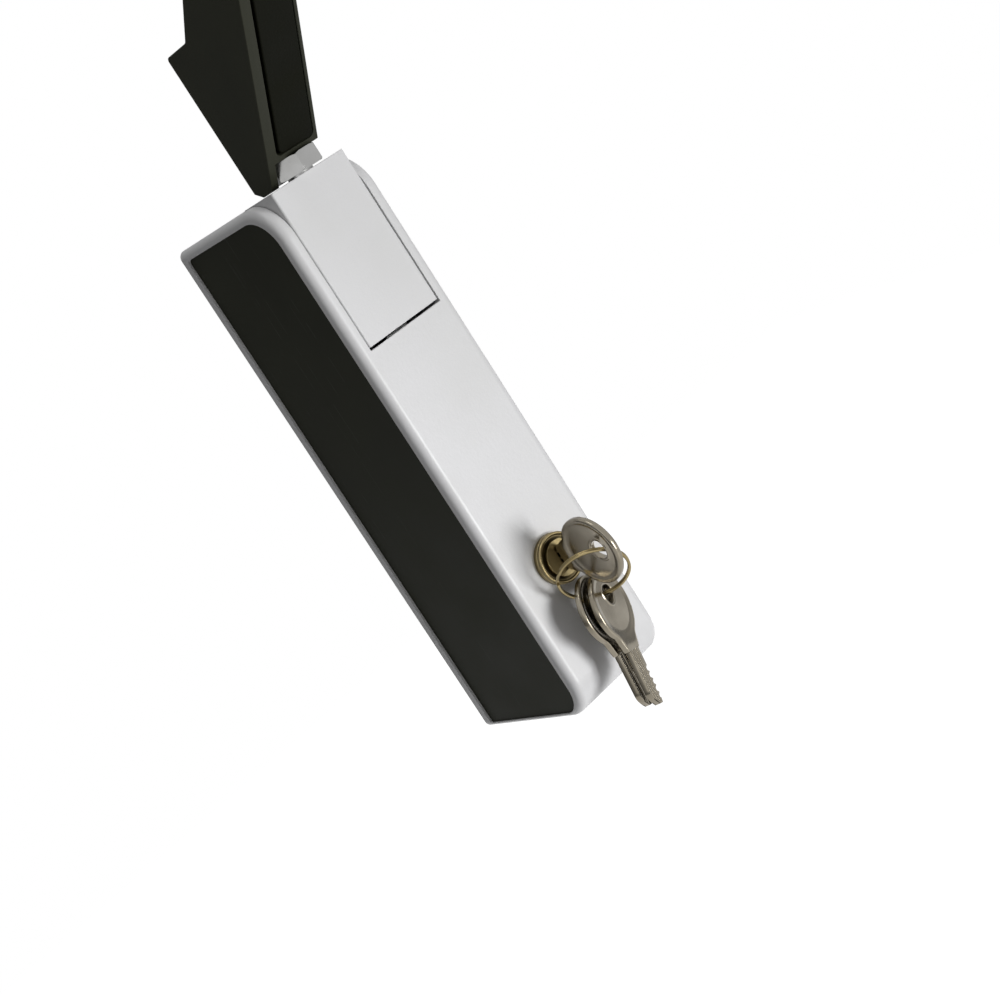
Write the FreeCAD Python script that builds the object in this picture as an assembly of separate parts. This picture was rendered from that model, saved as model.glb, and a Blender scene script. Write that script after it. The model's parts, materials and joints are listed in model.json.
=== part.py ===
import FreeCAD, Part
import math
import os
from FreeCAD import Placement, Rotation, Vector

# Three-point lock: an upright surface-mounted case with a lift-out lever on top,
# a key cylinder low on the front, and a rack drive that works a top rod,
# a bottom rod and a side bolt together.
# The back of the case lies on the door in the plane y = 0, the front faces -Y,
# and z = 0 is half way up the case. "depth" is measured from the front face
# towards the door, and "drop" down from the top end of the case.

# Case
CASE_WIDTH = 45.0
CASE_DEPTH = 67.0
CASE_LENGTH = 212.0
FRONT_WALL = 3.0
SIDE_WALL = 4.0
END_WALL = 4.0
TOP_CORNER_RADIUS = 16.0
BOTTOM_CORNER_RADIUS = 13.0
EDGE_ROUND = 3.0
FIXED_FIT = 0.02
RUNNING_FIT = 0.06
LOOSE_FIT = 0.35

# Side panels, let into a pocket in each side of the case
PANEL_FRONT_BORDER = 4.5
PANEL_BACK_BORDER = 3.0
PANEL_TOP_BORDER = 4.0
PANEL_BOTTOM_BORDER = 1.8
PANEL_TOP_RADIUS = 12.5
PANEL_BOTTOM_RADIUS = 10.0
PANEL_POCKET = 2.0
PANEL_THICKNESS = 1.0

# Back plate and the door screws that a fitter drives into it
BACK_PLATE_THICKNESS = 2.0
PLATE_GAP = 0.1
DOOR_SCREW_RADIUS = 2.5
DOOR_SCREW_EDGE = 5.5
DOOR_SCREW_END = 12.0
SCREW_COLLAR_RADIUS = 4.2
SCREW_COLLAR_LENGTH = 5.0
PLATE_SCREW_RADIUS = 1.5
PLATE_SCREW_EDGE = 2.5
PLATE_SCREW_LENGTH = 8.0
PLATE_SCREW_TOP = 34.0
PLATE_SCREW_BOTTOM = 33.0
LEDGE_WIDTH = 5.0
LEDGE_HEIGHT = 6.0
LEDGE_DEPTH = 8.0

# Lever hub, the flush block in the slot at the top of the front
HUB_BORDER = 5.2
HUB_DEPTH = 20.0
HUB_PROUD = 0.3
HUB_TAIL = 10.0
HUB_SIDE_GAP = 0.35
HUB_END_GAP = 1.0
HUB_FACE_THICKNESS = 4.0
HUB_EDGE_ROUND = 0.8
LEVER_PIN_DEPTH = 10.0
LEVER_PIN_DROP = 51.0
LEVER_PIN_RADIUS = 4.0
BUSH_WALL = 2.0
SECTOR_SLOT_TOP = 32.0
SECTOR_PIN_RADIUS = 1.5
SECTOR_PIN_HALF = 12.0
SECTOR_TOP = 15.0

# Gearing: one sector on the hub, two racks and a reversing pinion
MODULE = 1.5
PRESSURE_ANGLE = math.radians(25.0)
ADDENDUM = 0.85
DEDENDUM = 1.15
BACKLASH = 0.16
SECTOR_TEETH = 18
SECTOR_THICKNESS = 10.0
PINION_WIDTH = 11.0
PINION_AXLE_RADIUS = 3.0
LEVER_SWING = math.radians(90.0)
RACK_WIDTH = 12.0
RACK_LEAST_THICKNESS = 3.6
RACK_MARGIN = 7.0
TOP_BAR_FOOT = 2.0
LINK_BAR_GAP = 2.6

# Drive bars
BAR_THICKNESS = 4.8
DRIVE_RACK_TOP = 44.0
DRIVE_RACK_RISE = 30.0
BOLT_BAR_GAP = 0.275
SOCKET_RAIL_GAP = 0.6
ROD_RADIUS = 5.0
ROD_THREAD_RADIUS = 4.0
ROD_THREAD_LENGTH = 16.0
ROD_END_INSET = 1.0
ROD_HOLE_CLEARANCE = 0.4
ROD_TENON_RADIUS = 1.8
ROD_TENON_LENGTH = 8.0
TENON_END_GAP = 0.5
LINK_RISE = 46.0
LINK_HEIGHT = 6.0
GUIDE_HALF_WIDTH = 8.0
TOP_GUIDE_BAR_GAP = 7.0
BOTTOM_GUIDE_LENGTH = 26.0
GUIDE_FRONT_WALL = 4.0
RACK_GUIDE_HEIGHT = 11.0
RACK_GUIDE_TOP = 87.0
RACK_GUIDE_GAP = 2.0
RACK_GUIDE_FRONT = 4.0

# Side bolt and the slanted slot that drives it
BOLT_THROW = 14.0
BOLT_HEIGHT = 22.0
BOLT_THICKNESS = 8.2
BOLT_TAIL = 4.0
BOLT_PIN_RADIUS = 3.0
BOLT_PIN_START = 7.0
BOLT_PIN_FLOOR = 2.0
BOLT_PIN_PROUD = 0.3
BOLT_PIN_DROP = 74.0
BOLT_NOSE_CHAMFER = 2.0
CAM_HALF_WIDTH = 14.0
CAM_END_WALL = 5.0
CAM_SLOT_CLEARANCE = 0.2
BOLT_RAIL_HEIGHT = 3.0

# Return spring above the drive rack
SPRING_COIL_RADIUS = 3.4
SPRING_WIRE_RADIUS = 0.6
SPRING_WIRE_SIDES = 8
SPRING_TURNS = 6
SPIGOT_RADIUS = 2.2
SPIGOT_LENGTH = 14.0
RACK_SPIGOT_LENGTH = 4.0

# Key cylinder
CYLINDER_RISE = 52.0
CYLINDER_RADIUS = 7.5
CYLINDER_LENGTH = 19.0
CYLINDER_PROUD = 3.6
CYLINDER_HEAD_RADIUS = 8.3
CYLINDER_HEAD_THICKNESS = 1.4
ROSETTE_RADIUS = 9.4
ROSETTE_ROUND = 0.8
PLUG_RADIUS = 5.6
PLUG_FACE_RADIUS = 6.8
PLUG_FACE_THICKNESS = 0.8
CYLINDER_NUT_FLATS = 20.0
CYLINDER_NUT_THICKNESS = 4.0
WAFER_COUNT = 5
WAFER_PITCH = 2.6
WAFER_THICKNESS = 1.0
WAFER_WIDTH = 6.6
WAFER_START = 2.5
WAFER_GAP = 0.1
KEYWAY_END = 16.8
LOCK_MODULE = 1.0
LOCK_PINION_TEETH = 10
LOCK_PINION_WIDTH = 2.5
LOCK_BACKLASH = 0.12
LOCK_TAIL_RADIUS = 2.0
TAIL_SCREW_RADIUS = 1.25
TAIL_SCREW_LENGTH = 6.0
TAIL_SCREW_HEAD_RADIUS = 2.8
TAIL_SCREW_HEAD = 1.6
SCREW_SLOT_DEPTH = 0.7
SCREW_SLOT_WIDTH = 0.8
LOCK_SLIDE_HEIGHT = 6.0
LOCK_SLIDE_LEFT = -6.0
LOCK_TEETH_MARGIN = 4.0
SLIDE_GUIDE_RAIL = 5.7
SLIDE_GUIDE_GAP = 0.3
SLIDE_GUIDE_LIP = 2.2
LOCK_NOSE_LEFT = 8.6
LOCK_NOSE_RIGHT = 13.0
LOCK_NOSE_GAP = 0.5
KEY_TURN = math.radians(90.0)
NOTCH_DEPTH = 5.6

# Keys and the ring
KEY_THICKNESS = 2.4
KEY_BOW_RADIUS = 13.2
KEY_HOLE_RADIUS = 3.4
KEY_HOLE_OFFSET = 4.6
KEY_SHOULDER = 4.0
KEY_SHOULDER_HALF = 4.7
KEY_NECK_HALF = 7.0
KEY_BLADE_LENGTH = 21.0
KEY_BLADE_HEIGHT = 7.0
KEY_GROOVE = 0.5
KEY_GROOVE_WIDTH = 1.4
KEY_CUTS = (1.4, 1.6, 1.0, 1.5, 1.2)
KEY_PLAY = 0.12
KEY_STOP_GAP = 0.3
RING_RADIUS = 12.76
RING_WIDTH = 1.1
RING_THICKNESS = 1.4
RING_SAG = 0.43
RING_YAW = 48.3
RING_TILT = 36.1
RING_SEAT_ANGLE = -139.7
SPARE_KEY_YAW = 28.0
FRONT_KEY_LEAN = 16.0
BACK_KEY_LEAN = 12.0
FRONT_KEY_ANGLE = 9.5
BACK_KEY_ANGLE = 31.2

# Lever, nut and stud; heights are above the top end of the case
STUD_X = 1.5
STUD_DEPTH = 6.6
STUD_RADIUS = 5.0
STUD_INSERTION = 24.0
STUD_REACH = 34.0
NUT_FLATS = 17.0
NUT_BASE = 1.0
NUT_HEIGHT = 6.7
NUT_TURN = -111.0
NUT_CHAMFER = 0.9
LEVER_LEFT = -12.4
LEVER_RIGHT = 11.4
LEVER_FRONT_DEPTH = 0.4
LEVER_LEAN = math.radians(38.4)
HEEL_DEPTH = 16.8
HEEL_BASE = 0.5
HEEL_CHEEK = 3.2
HEEL_CHAMFER_DEPTH = 4.0
HEEL_CHAMFER_HEIGHT = 2.5
SHOULDER_HEIGHT = 57.0
SHOULDER_DEPTH = 1.8
LEVER_BACK_LEAN = math.radians(49.0)
LEVER_TIP_HEIGHT = 112.0
LEVER_TIP_RISE = 8.0
LEVER_TIP_RADIUS = 7.0
LEVER_CORNER = 1.5
LEVER_BACK_CREASE = 2.5
INSERT_LEFT = -6.5
INSERT_RIGHT = 9.6
INSERT_GROOVE = 1.4
INSERT_DEPTH = 1.8
INSERT_PROUD = 0.3
INSERT_RECESS = 5.0
INSERT_RIGHT_GAP = 0.3
INSERT_END_GAP = 0.3
STUD_SOCKET_GAP = 0.5
INSERT_LOW = 9.4
INSERT_END_INSET = 14.0
INSERT_CORNER = 2.5

# Sizes worked out from the ones above
HALF_WIDTH = CASE_WIDTH / 2
INNER_HALF = HALF_WIDTH - SIDE_WALL
TOP_Z = CASE_LENGTH / 2
PANEL_SEAT = HALF_WIDTH - PANEL_POCKET
SECTOR_RADIUS = MODULE * SECTOR_TEETH / 2
TRAVEL = SECTOR_RADIUS * LEVER_SWING
RACK_PITCH_DEPTH = LEVER_PIN_DEPTH + SECTOR_RADIUS
RACK_FRONT = RACK_PITCH_DEPTH + MODULE * DEDENDUM
PLATE_FRONT = CASE_DEPTH - BACK_PLATE_THICKNESS
BOLT_BACK = PLATE_FRONT - LOOSE_FIT
BOLT_FRONT = BOLT_BACK - BOLT_THICKNESS
BAR_BACK = BOLT_FRONT - BOLT_BAR_GAP
BAR_FRONT = BAR_BACK - BAR_THICKNESS
ROD_DEPTH = (BAR_FRONT + BAR_BACK) / 2
GEAR_ROOM = BAR_FRONT - RACK_FRONT - 2 * MODULE * DEDENDUM
PINION_TEETH = 2 * math.floor((GEAR_ROOM - RACK_LEAST_THICKNESS) / (2 * MODULE))
PINION_RADIUS = MODULE * PINION_TEETH / 2
RACK_THICKNESS = GEAR_ROOM - 2 * PINION_RADIUS
RACK_BACK = RACK_FRONT + RACK_THICKNESS
PINION_DEPTH = RACK_BACK + MODULE * DEDENDUM + PINION_RADIUS
LINK_TOP = CASE_LENGTH - LINK_RISE
PINION_DROP = LINK_TOP - LINK_BAR_GAP - 2 * TRAVEL - RACK_MARGIN - TOP_BAR_FOOT
CYLINDER_DROP = CASE_LENGTH - CYLINDER_RISE
PLATE_SCREW_DROPS = (PLATE_SCREW_TOP, CASE_LENGTH - PLATE_SCREW_BOTTOM)
PLATE_SCREW_X = INNER_HALF - PLATE_SCREW_EDGE
DOOR_SCREW_X = INNER_HALF - DOOR_SCREW_EDGE
RAIL_TOP = BOLT_PIN_DROP - BOLT_HEIGHT / 2 - RUNNING_FIT - BOLT_RAIL_HEIGHT
TOP_BAR_TOP = RAIL_TOP - TRAVEL - SOCKET_RAIL_GAP
HUB_WIDTH = CASE_WIDTH - 2 * HUB_BORDER
LOCK_PINION_RADIUS = LOCK_MODULE * LOCK_PINION_TEETH / 2
LOCK_TRAVEL = LOCK_PINION_RADIUS * KEY_TURN
LOCK_PLANE = CYLINDER_LENGTH + LOOSE_FIT
SLOPE = math.tan(LEVER_LEAN)
LEVER_BASE = NUT_BASE + NUT_HEIGHT


def spot(x, depth, drop):
    """Point at x, so far behind the front face and so far below the top end."""
    return Vector(x, depth - CASE_DEPTH, TOP_Z - drop)


def block(x_range, depth_range, drop_range):
    """Box between two x values, two depths and two drops."""
    corner = spot(x_range[0], depth_range[0], drop_range[1])
    width = x_range[1] - x_range[0]
    depth = depth_range[1] - depth_range[0]
    height = drop_range[1] - drop_range[0]
    return Part.makeBox(width, depth, height, corner)


def rod_x(radius, x_range, depth, drop):
    """Round bar along X."""
    return Part.makeCylinder(radius, x_range[1] - x_range[0], spot(x_range[0], depth, drop), Vector(1, 0, 0))


def rod_y(radius, depth_range, x, drop):
    """Round bar along Y."""
    start = spot(x, depth_range[0], drop)
    return Part.makeCylinder(radius, depth_range[1] - depth_range[0], start, Vector(0, 1, 0))


def rod_z(radius, drop_range, x, depth):
    """Round bar along Z."""
    start = spot(x, depth, drop_range[1])
    return Part.makeCylinder(radius, drop_range[1] - drop_range[0], start, Vector(0, 0, 1))


def rounded_wire(corners, place):
    """Closed outline through (u, v, radius) corners, each rounded by a tangent arc."""
    arcs = []
    for index, (u, v, radius) in enumerate(corners):
        before = corners[index - 1]
        after = corners[(index + 1) % len(corners)]
        corner = Vector(u, v, 0)
        to_before = (Vector(before[0], before[1], 0) - corner).normalize()
        to_after = (Vector(after[0], after[1], 0) - corner).normalize()
        half = to_before.getAngle(to_after) / 2
        reach = radius / math.tan(half)
        middle = (to_before + to_after).normalize() * (radius / math.sin(half) - radius)
        arcs.append((corner + to_before * reach, corner + middle, corner + to_after * reach, radius))
    edges = []
    for index, (start, middle, end, radius) in enumerate(arcs):
        if radius > 0:
            edges.append(Part.Arc(place(start), place(middle), place(end)).toShape())
        next_start = arcs[(index + 1) % len(arcs)][0]
        if end.distanceToPoint(next_start) > 1e-6:
            edges.append(Part.LineSegment(place(end), place(next_start)).toShape())
    return Part.Wire(edges)


def side_plate(corners, x_range):
    """Plate with a (depth, drop, radius) outline, from one x to another."""
    wire = rounded_wire(corners, lambda p: spot(x_range[0], p.x, p.y))
    return Part.Face(wire).extrude(Vector(x_range[1] - x_range[0], 0, 0))


def front_plate(corners, depth_range):
    """Plate with an (x, drop, radius) outline, from one depth to another."""
    wire = rounded_wire(corners, lambda p: spot(p.x, depth_range[0], p.y))
    return Part.Face(wire).extrude(Vector(0, depth_range[1] - depth_range[0], 0))


def hexagon(flats, axis, start, length, turn):
    """Hexagonal bar with the given width across flats, turned by so many degrees."""
    radius = flats / math.sqrt(3)
    points = []
    for step in range(7):
        angle = math.radians(60 * step)
        points.append(Vector(radius * math.cos(angle), radius * math.sin(angle), 0))
    bar = Part.Face(Part.makePolygon(points)).extrude(Vector(0, 0, length))
    spin = Rotation(Vector(0, 0, 1), turn)
    bar.Placement = Placement(start, Rotation(Vector(0, 0, 1), axis) * spin)
    return bar


def involute(angle):
    return math.tan(angle) - angle


def flank_half_angle(radius, teeth, module, backlash):
    """Half the angle that a tooth takes up at this radius of a gear."""
    pitch = module * teeth / 2
    base = pitch * math.cos(PRESSURE_ANGLE)
    pressure = math.acos(min(1.0, base / max(radius, base)))
    half_pitch = math.pi / (2 * teeth) - backlash / (2 * pitch)
    return half_pitch + involute(PRESSURE_ANGLE) - involute(pressure)


def gear_outline(teeth, module, backlash, first, last):
    """Points (radius, angle) of the teeth numbered first to last, tooth 0 at angle 0."""
    pitch = module * teeth / 2
    root = pitch - module * DEDENDUM
    tip = pitch + module * ADDENDUM
    base = max(root, pitch * math.cos(PRESSURE_ANGLE))
    radii = [root, base, (base + tip) / 2, tip]
    points = []
    for tooth in range(first, last + 1):
        middle = 2 * math.pi * tooth / teeth
        rising = [(r, middle - flank_half_angle(r, teeth, module, backlash)) for r in radii]
        falling = [(r, middle + flank_half_angle(r, teeth, module, backlash)) for r in reversed(radii)]
        points += rising + falling
    return points


def rack_outline(pitch_line, centre, low, high, side, module, backlash):
    """Points (across, along) of rack teeth between low and high, with a space at centre."""
    pitch = math.pi * module
    tip = pitch_line + side * module * ADDENDUM
    root = pitch_line - side * module * DEDENDUM
    half_tooth = pitch / 4 - backlash / 2
    tip_half = half_tooth - module * ADDENDUM * math.tan(PRESSURE_ANGLE)
    root_half = half_tooth + module * DEDENDUM * math.tan(PRESSURE_ANGLE)
    first = math.ceil((low - centre) / pitch - 0.5)
    last = math.floor((high - centre) / pitch - 0.5)
    points = []
    for tooth in range(first, last + 1):
        middle = centre + pitch * (tooth + 0.5)
        points += [(root, middle - root_half), (tip, middle - tip_half)]
        points += [(tip, middle + tip_half), (root, middle + root_half)]
    return points


def case_shell():
    """Light grey casting: a deep shell, open at the back, slotted for the lever hub."""
    outline = [
        (0, 0, TOP_CORNER_RADIUS),
        (CASE_DEPTH, 0, 0),
        (CASE_DEPTH, CASE_LENGTH, 0),
        (0, CASE_LENGTH, BOTTOM_CORNER_RADIUS),
    ]
    shell = side_plate(outline, (-HALF_WIDTH, HALF_WIDTH))
    rims = []
    for edge in shell.Edges:
        box = edge.BoundBox
        on_side = box.XLength < 1e-6
        on_back = box.YMin > -1e-6
        if on_side and not on_back:
            rims.append(edge)
    shell = shell.makeFillet(EDGE_ROUND, rims)
    room = [
        (FRONT_WALL, END_WALL, TOP_CORNER_RADIUS - END_WALL),
        (CASE_DEPTH + 1, END_WALL, 0),
        (CASE_DEPTH + 1, CASE_LENGTH - END_WALL, 0),
        (FRONT_WALL, CASE_LENGTH - END_WALL, BOTTOM_CORNER_RADIUS - END_WALL),
    ]
    shell = shell.cut(side_plate(room, (-INNER_HALF, INNER_HALF)))
    slot_half = HUB_WIDTH / 2 + HUB_SIDE_GAP
    slot_bottom = LEVER_PIN_DROP + HUB_TAIL + HUB_END_GAP
    slot = block((-slot_half, slot_half), (-1, HUB_DEPTH + LOOSE_FIT), (-1, slot_bottom))
    relief_radius = math.hypot(LEVER_PIN_DEPTH, HUB_TAIL + HUB_END_GAP)
    relief = rod_x(relief_radius, (-slot_half, slot_half), LEVER_PIN_DEPTH, LEVER_PIN_DROP)
    shell = shell.cut([slot, relief])
    for side in (-1, 1):
        shell = shell.cut(panel_solid(side, PANEL_SEAT, HALF_WIDTH + 1))
        ledges = [ledge(side, drop) for drop in PLATE_SCREW_DROPS]
        shell = shell.fuse(ledges)
    shell = shell.cut(case_holes())
    return shell.removeSplitter()


def ledge(side, drop):
    """Ledge on the side wall that carries the back plate, with its screw hole."""
    outer = side * (INNER_HALF + 0.5)
    inner = side * (INNER_HALF - LEDGE_WIDTH)
    x_range = (min(outer, inner), max(outer, inner))
    half = LEDGE_HEIGHT / 2
    body = block(x_range, (PLATE_FRONT - LEDGE_DEPTH, PLATE_FRONT), (drop - half, drop + half))
    hole_depth = PLATE_FRONT - PLATE_SCREW_LENGTH + BACK_PLATE_THICKNESS
    hole = rod_y(PLATE_SCREW_RADIUS + FIXED_FIT, (hole_depth, PLATE_FRONT + 1), side * PLATE_SCREW_X, drop)
    return body.cut(hole)


def case_holes():
    """Holes in the walls: lever pin, pinion axle, cylinder, rods and side bolt."""
    through = (-PANEL_SEAT - 1, PANEL_SEAT + 1)
    rod_hole = ROD_RADIUS + ROD_HOLE_CLEARANCE
    bolt_half = BOLT_HEIGHT / 2 + 0.2
    bolt_window = block(
        (INNER_HALF - 1, HALF_WIDTH + 1),
        (BOLT_FRONT - 0.2, BOLT_BACK + 0.2),
        (BOLT_PIN_DROP - bolt_half, BOLT_PIN_DROP + bolt_half),
    )
    return [
        rod_x(LEVER_PIN_RADIUS + FIXED_FIT, through, LEVER_PIN_DEPTH, LEVER_PIN_DROP),
        rod_x(PINION_AXLE_RADIUS + FIXED_FIT, through, PINION_DEPTH, PINION_DROP),
        rod_y(CYLINDER_RADIUS + FIXED_FIT, (-1, FRONT_WALL + 1), 0, CYLINDER_DROP),
        rod_z(rod_hole, (-1, END_WALL + 1), 0, ROD_DEPTH),
        rod_z(rod_hole, (CASE_LENGTH - END_WALL - 1, CASE_LENGTH + 1), 0, ROD_DEPTH),
        bolt_window,
    ]


def panel_solid(side, inner, outer):
    """Panel outline between two distances from the middle of the case."""
    outline = [
        (PANEL_FRONT_BORDER, PANEL_TOP_BORDER, PANEL_TOP_RADIUS),
        (CASE_DEPTH - PANEL_BACK_BORDER, PANEL_TOP_BORDER, 2.0),
        (CASE_DEPTH - PANEL_BACK_BORDER, CASE_LENGTH - PANEL_BOTTOM_BORDER, 0.5),
        (PANEL_FRONT_BORDER, CASE_LENGTH - PANEL_BOTTOM_BORDER, PANEL_BOTTOM_RADIUS),
    ]
    x_range = (min(side * inner, side * outer), max(side * inner, side * outer))
    return side_plate(outline, x_range)


def side_panel(side):
    """Black cover panel that lies in the pocket and hides the axle ends."""
    panel = panel_solid(side, PANEL_SEAT, PANEL_SEAT + PANEL_THICKNESS)
    if side > 0:
        half = BOLT_HEIGHT / 2 + 0.2
        window = block(
            (PANEL_SEAT - 1, HALF_WIDTH + 1),
            (BOLT_FRONT - 0.2, BOLT_BACK + 0.2),
            (BOLT_PIN_DROP - half, BOLT_PIN_DROP + half),
        )
        panel = panel.cut(window)
    return panel


def screw_spots():
    """The four door screw places as (x, drop)."""
    spots = []
    for x in (-DOOR_SCREW_X, DOOR_SCREW_X):
        for drop in (DOOR_SCREW_END, CASE_LENGTH - DOOR_SCREW_END):
            spots.append((x, drop))
    return spots


def back_plate():
    """Steel plate that closes the back and takes the four door screws."""
    half = INNER_HALF - PLATE_GAP
    ends = (END_WALL + PLATE_GAP, CASE_LENGTH - END_WALL - PLATE_GAP)
    plate = block((-half, half), (PLATE_FRONT, CASE_DEPTH), ends)
    collars = []
    holes = []
    for x, drop in screw_spots():
        collars.append(rod_y(SCREW_COLLAR_RADIUS, (PLATE_FRONT - SCREW_COLLAR_LENGTH, PLATE_FRONT), x, drop))
        through = (PLATE_FRONT - SCREW_COLLAR_LENGTH - 1, CASE_DEPTH + 1)
        holes.append(rod_y(DOOR_SCREW_RADIUS, through, x, drop))
    for side in (-1, 1):
        for drop in PLATE_SCREW_DROPS:
            x = side * PLATE_SCREW_X
            holes.append(rod_y(PLATE_SCREW_RADIUS + FIXED_FIT, (PLATE_FRONT - 1, CASE_DEPTH + 1), x, drop))
    return plate.fuse(collars).cut(holes).removeSplitter()


def back_plate_screws():
    """Four short screws, flush with the back plate, in the ledges of the case."""
    screws = []
    for side in (-1, 1):
        for drop in PLATE_SCREW_DROPS:
            depths = (CASE_DEPTH - PLATE_SCREW_LENGTH, CASE_DEPTH - 0.1)
            screws.append(rod_y(PLATE_SCREW_RADIUS, depths, side * PLATE_SCREW_X, drop))
    return Part.Compound(screws)


def lever_hub():
    """Flush block on the lever pin, slotted behind its face for the toothed sector."""
    half = HUB_WIDTH / 2
    upper = block((-half, half), (0, HUB_DEPTH), (-HUB_PROUD, LEVER_PIN_DROP))
    tail = block((-half, half), (0, LEVER_PIN_DEPTH), (LEVER_PIN_DROP, LEVER_PIN_DROP + HUB_TAIL))
    barrel = rod_x(HUB_TAIL, (-half, half), LEVER_PIN_DEPTH, LEVER_PIN_DROP)
    hub = upper.fuse([tail, barrel]).removeSplitter()
    rims = []
    for edge in hub.Edges:
        box = edge.BoundBox
        upright = box.XLength < 1e-6 and box.YLength < 1e-6
        if upright and box.YMin < -CASE_DEPTH + 1e-6:
            rims.append(edge)
    hub = hub.makeFillet(HUB_EDGE_ROUND, rims)
    slot_half = SECTOR_THICKNESS / 2 + 0.1
    slot_ends = (SECTOR_SLOT_TOP, LEVER_PIN_DROP + HUB_TAIL + 1)
    slot = block((-slot_half, slot_half), (HUB_FACE_THICKNESS, HUB_DEPTH + 1), slot_ends)
    bore_radius = LEVER_PIN_RADIUS + BUSH_WALL + FIXED_FIT
    bore = rod_x(bore_radius, (-half - 1, half + 1), LEVER_PIN_DEPTH, LEVER_PIN_DROP)
    socket = rod_z(STUD_RADIUS + FIXED_FIT, (-HUB_PROUD - 1, STUD_INSERTION), STUD_X, STUD_DEPTH)
    pins = [rod_x(SECTOR_PIN_RADIUS + FIXED_FIT, (-SECTOR_PIN_HALF, SECTOR_PIN_HALF), depth, drop)
            for depth, drop in sector_pin_spots()]
    return hub.cut([slot, bore, socket] + pins)


def sector_pin_spots():
    """Depth and drop of the two cross pins that hold the sector in the hub."""
    drop = LEVER_PIN_DROP - SECTOR_TOP + 3.5
    return [(LEVER_PIN_DEPTH - 2.5, drop), (LEVER_PIN_DEPTH + 5.5, drop)]


def drive_sector():
    """Toothed quadrant that turns with the hub and lifts the drive rack."""
    first, last = -5, 1
    points = [Vector(0, 0, 0)]
    for radius, angle in gear_outline(SECTOR_TEETH, MODULE, BACKLASH, first, last):
        points.append(Vector(radius * math.cos(angle), radius * math.sin(angle), 0))
    points.append(points[0])
    half = SECTOR_THICKNESS / 2
    place = [spot(-half, LEVER_PIN_DEPTH + p.x, LEVER_PIN_DROP - p.y) for p in points]
    teeth = Part.Face(Part.makePolygon(place)).extrude(Vector(SECTOR_THICKNESS, 0, 0))
    hub_radius = LEVER_PIN_RADIUS + 1.8
    boss = rod_x(hub_radius, (-half, half), LEVER_PIN_DEPTH, LEVER_PIN_DROP)
    tail = side_plate([
        (LEVER_PIN_DEPTH - hub_radius + 0.2, LEVER_PIN_DROP - SECTOR_TOP, 1.5),
        (LEVER_PIN_DEPTH + 9.0, LEVER_PIN_DROP - SECTOR_TOP, 3.0),
        (LEVER_PIN_DEPTH + 9.0, LEVER_PIN_DROP, 0),
        (LEVER_PIN_DEPTH - hub_radius + 0.2, LEVER_PIN_DROP, 0),
    ], (-half, half))
    bore = rod_x(LEVER_PIN_RADIUS + RUNNING_FIT, (-half - 1, half + 1), LEVER_PIN_DEPTH, LEVER_PIN_DROP)
    pins = [rod_x(SECTOR_PIN_RADIUS + FIXED_FIT, (-half - 1, half + 1), depth, drop)
            for depth, drop in sector_pin_spots()]
    return teeth.fuse([boss, tail]).cut([bore] + pins).removeSplitter()


def sector_pins():
    """Two cross pins through the hub and the sector."""
    span = (-SECTOR_PIN_HALF, SECTOR_PIN_HALF)
    return Part.Compound([rod_x(SECTOR_PIN_RADIUS, span, depth, drop) for depth, drop in sector_pin_spots()])


def hub_bushes():
    """Two plain bushes in the cheeks of the hub."""
    inner = SECTOR_THICKNESS / 2 + 0.2
    outer = HUB_WIDTH / 2
    bushes = []
    for low, high in ((-outer, -inner), (inner, outer)):
        sleeve = rod_x(LEVER_PIN_RADIUS + BUSH_WALL, (low, high), LEVER_PIN_DEPTH, LEVER_PIN_DROP)
        hole = rod_x(LEVER_PIN_RADIUS + RUNNING_FIT, (low - 1, high + 1), LEVER_PIN_DEPTH, LEVER_PIN_DROP)
        bushes.append(sleeve.cut(hole))
    return Part.Compound(bushes)


def lever_pin():
    """Pin that the hub swings on, held in both side walls."""
    return rod_x(LEVER_PIN_RADIUS, (-PANEL_SEAT, PANEL_SEAT), LEVER_PIN_DEPTH, LEVER_PIN_DROP)


def lever_stud():
    """Plated stud that joins the lever to the hub."""
    return rod_z(STUD_RADIUS, (-STUD_REACH, STUD_INSERTION - 1), STUD_X, STUD_DEPTH)


def lock_nut():
    """Thin hexagon nut, plated, that locks the lever on its stud."""
    base = spot(STUD_X, STUD_DEPTH, -NUT_BASE)
    nut = hexagon(NUT_FLATS, Vector(0, 0, 1), base, NUT_HEIGHT, NUT_TURN)
    narrow = NUT_FLATS / math.sqrt(3) - NUT_CHAMFER
    wide = narrow + 2 * NUT_HEIGHT
    top = base + Vector(0, 0, NUT_HEIGHT)
    lower = Part.makeCone(narrow, wide, NUT_HEIGHT, base, Vector(0, 0, 1))
    upper = Part.makeCone(narrow, wide, NUT_HEIGHT, top, Vector(0, 0, -1))
    bore = Part.makeCylinder(STUD_RADIUS + FIXED_FIT, NUT_HEIGHT + 2, base - Vector(0, 0, 1), Vector(0, 0, 1))
    return nut.common(lower).common(upper).cut(bore)


def front_line(height):
    """Depth of the lever's front face at this height above the case."""
    return LEVER_FRONT_DEPTH - (height - LEVER_BASE) * SLOPE


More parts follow.
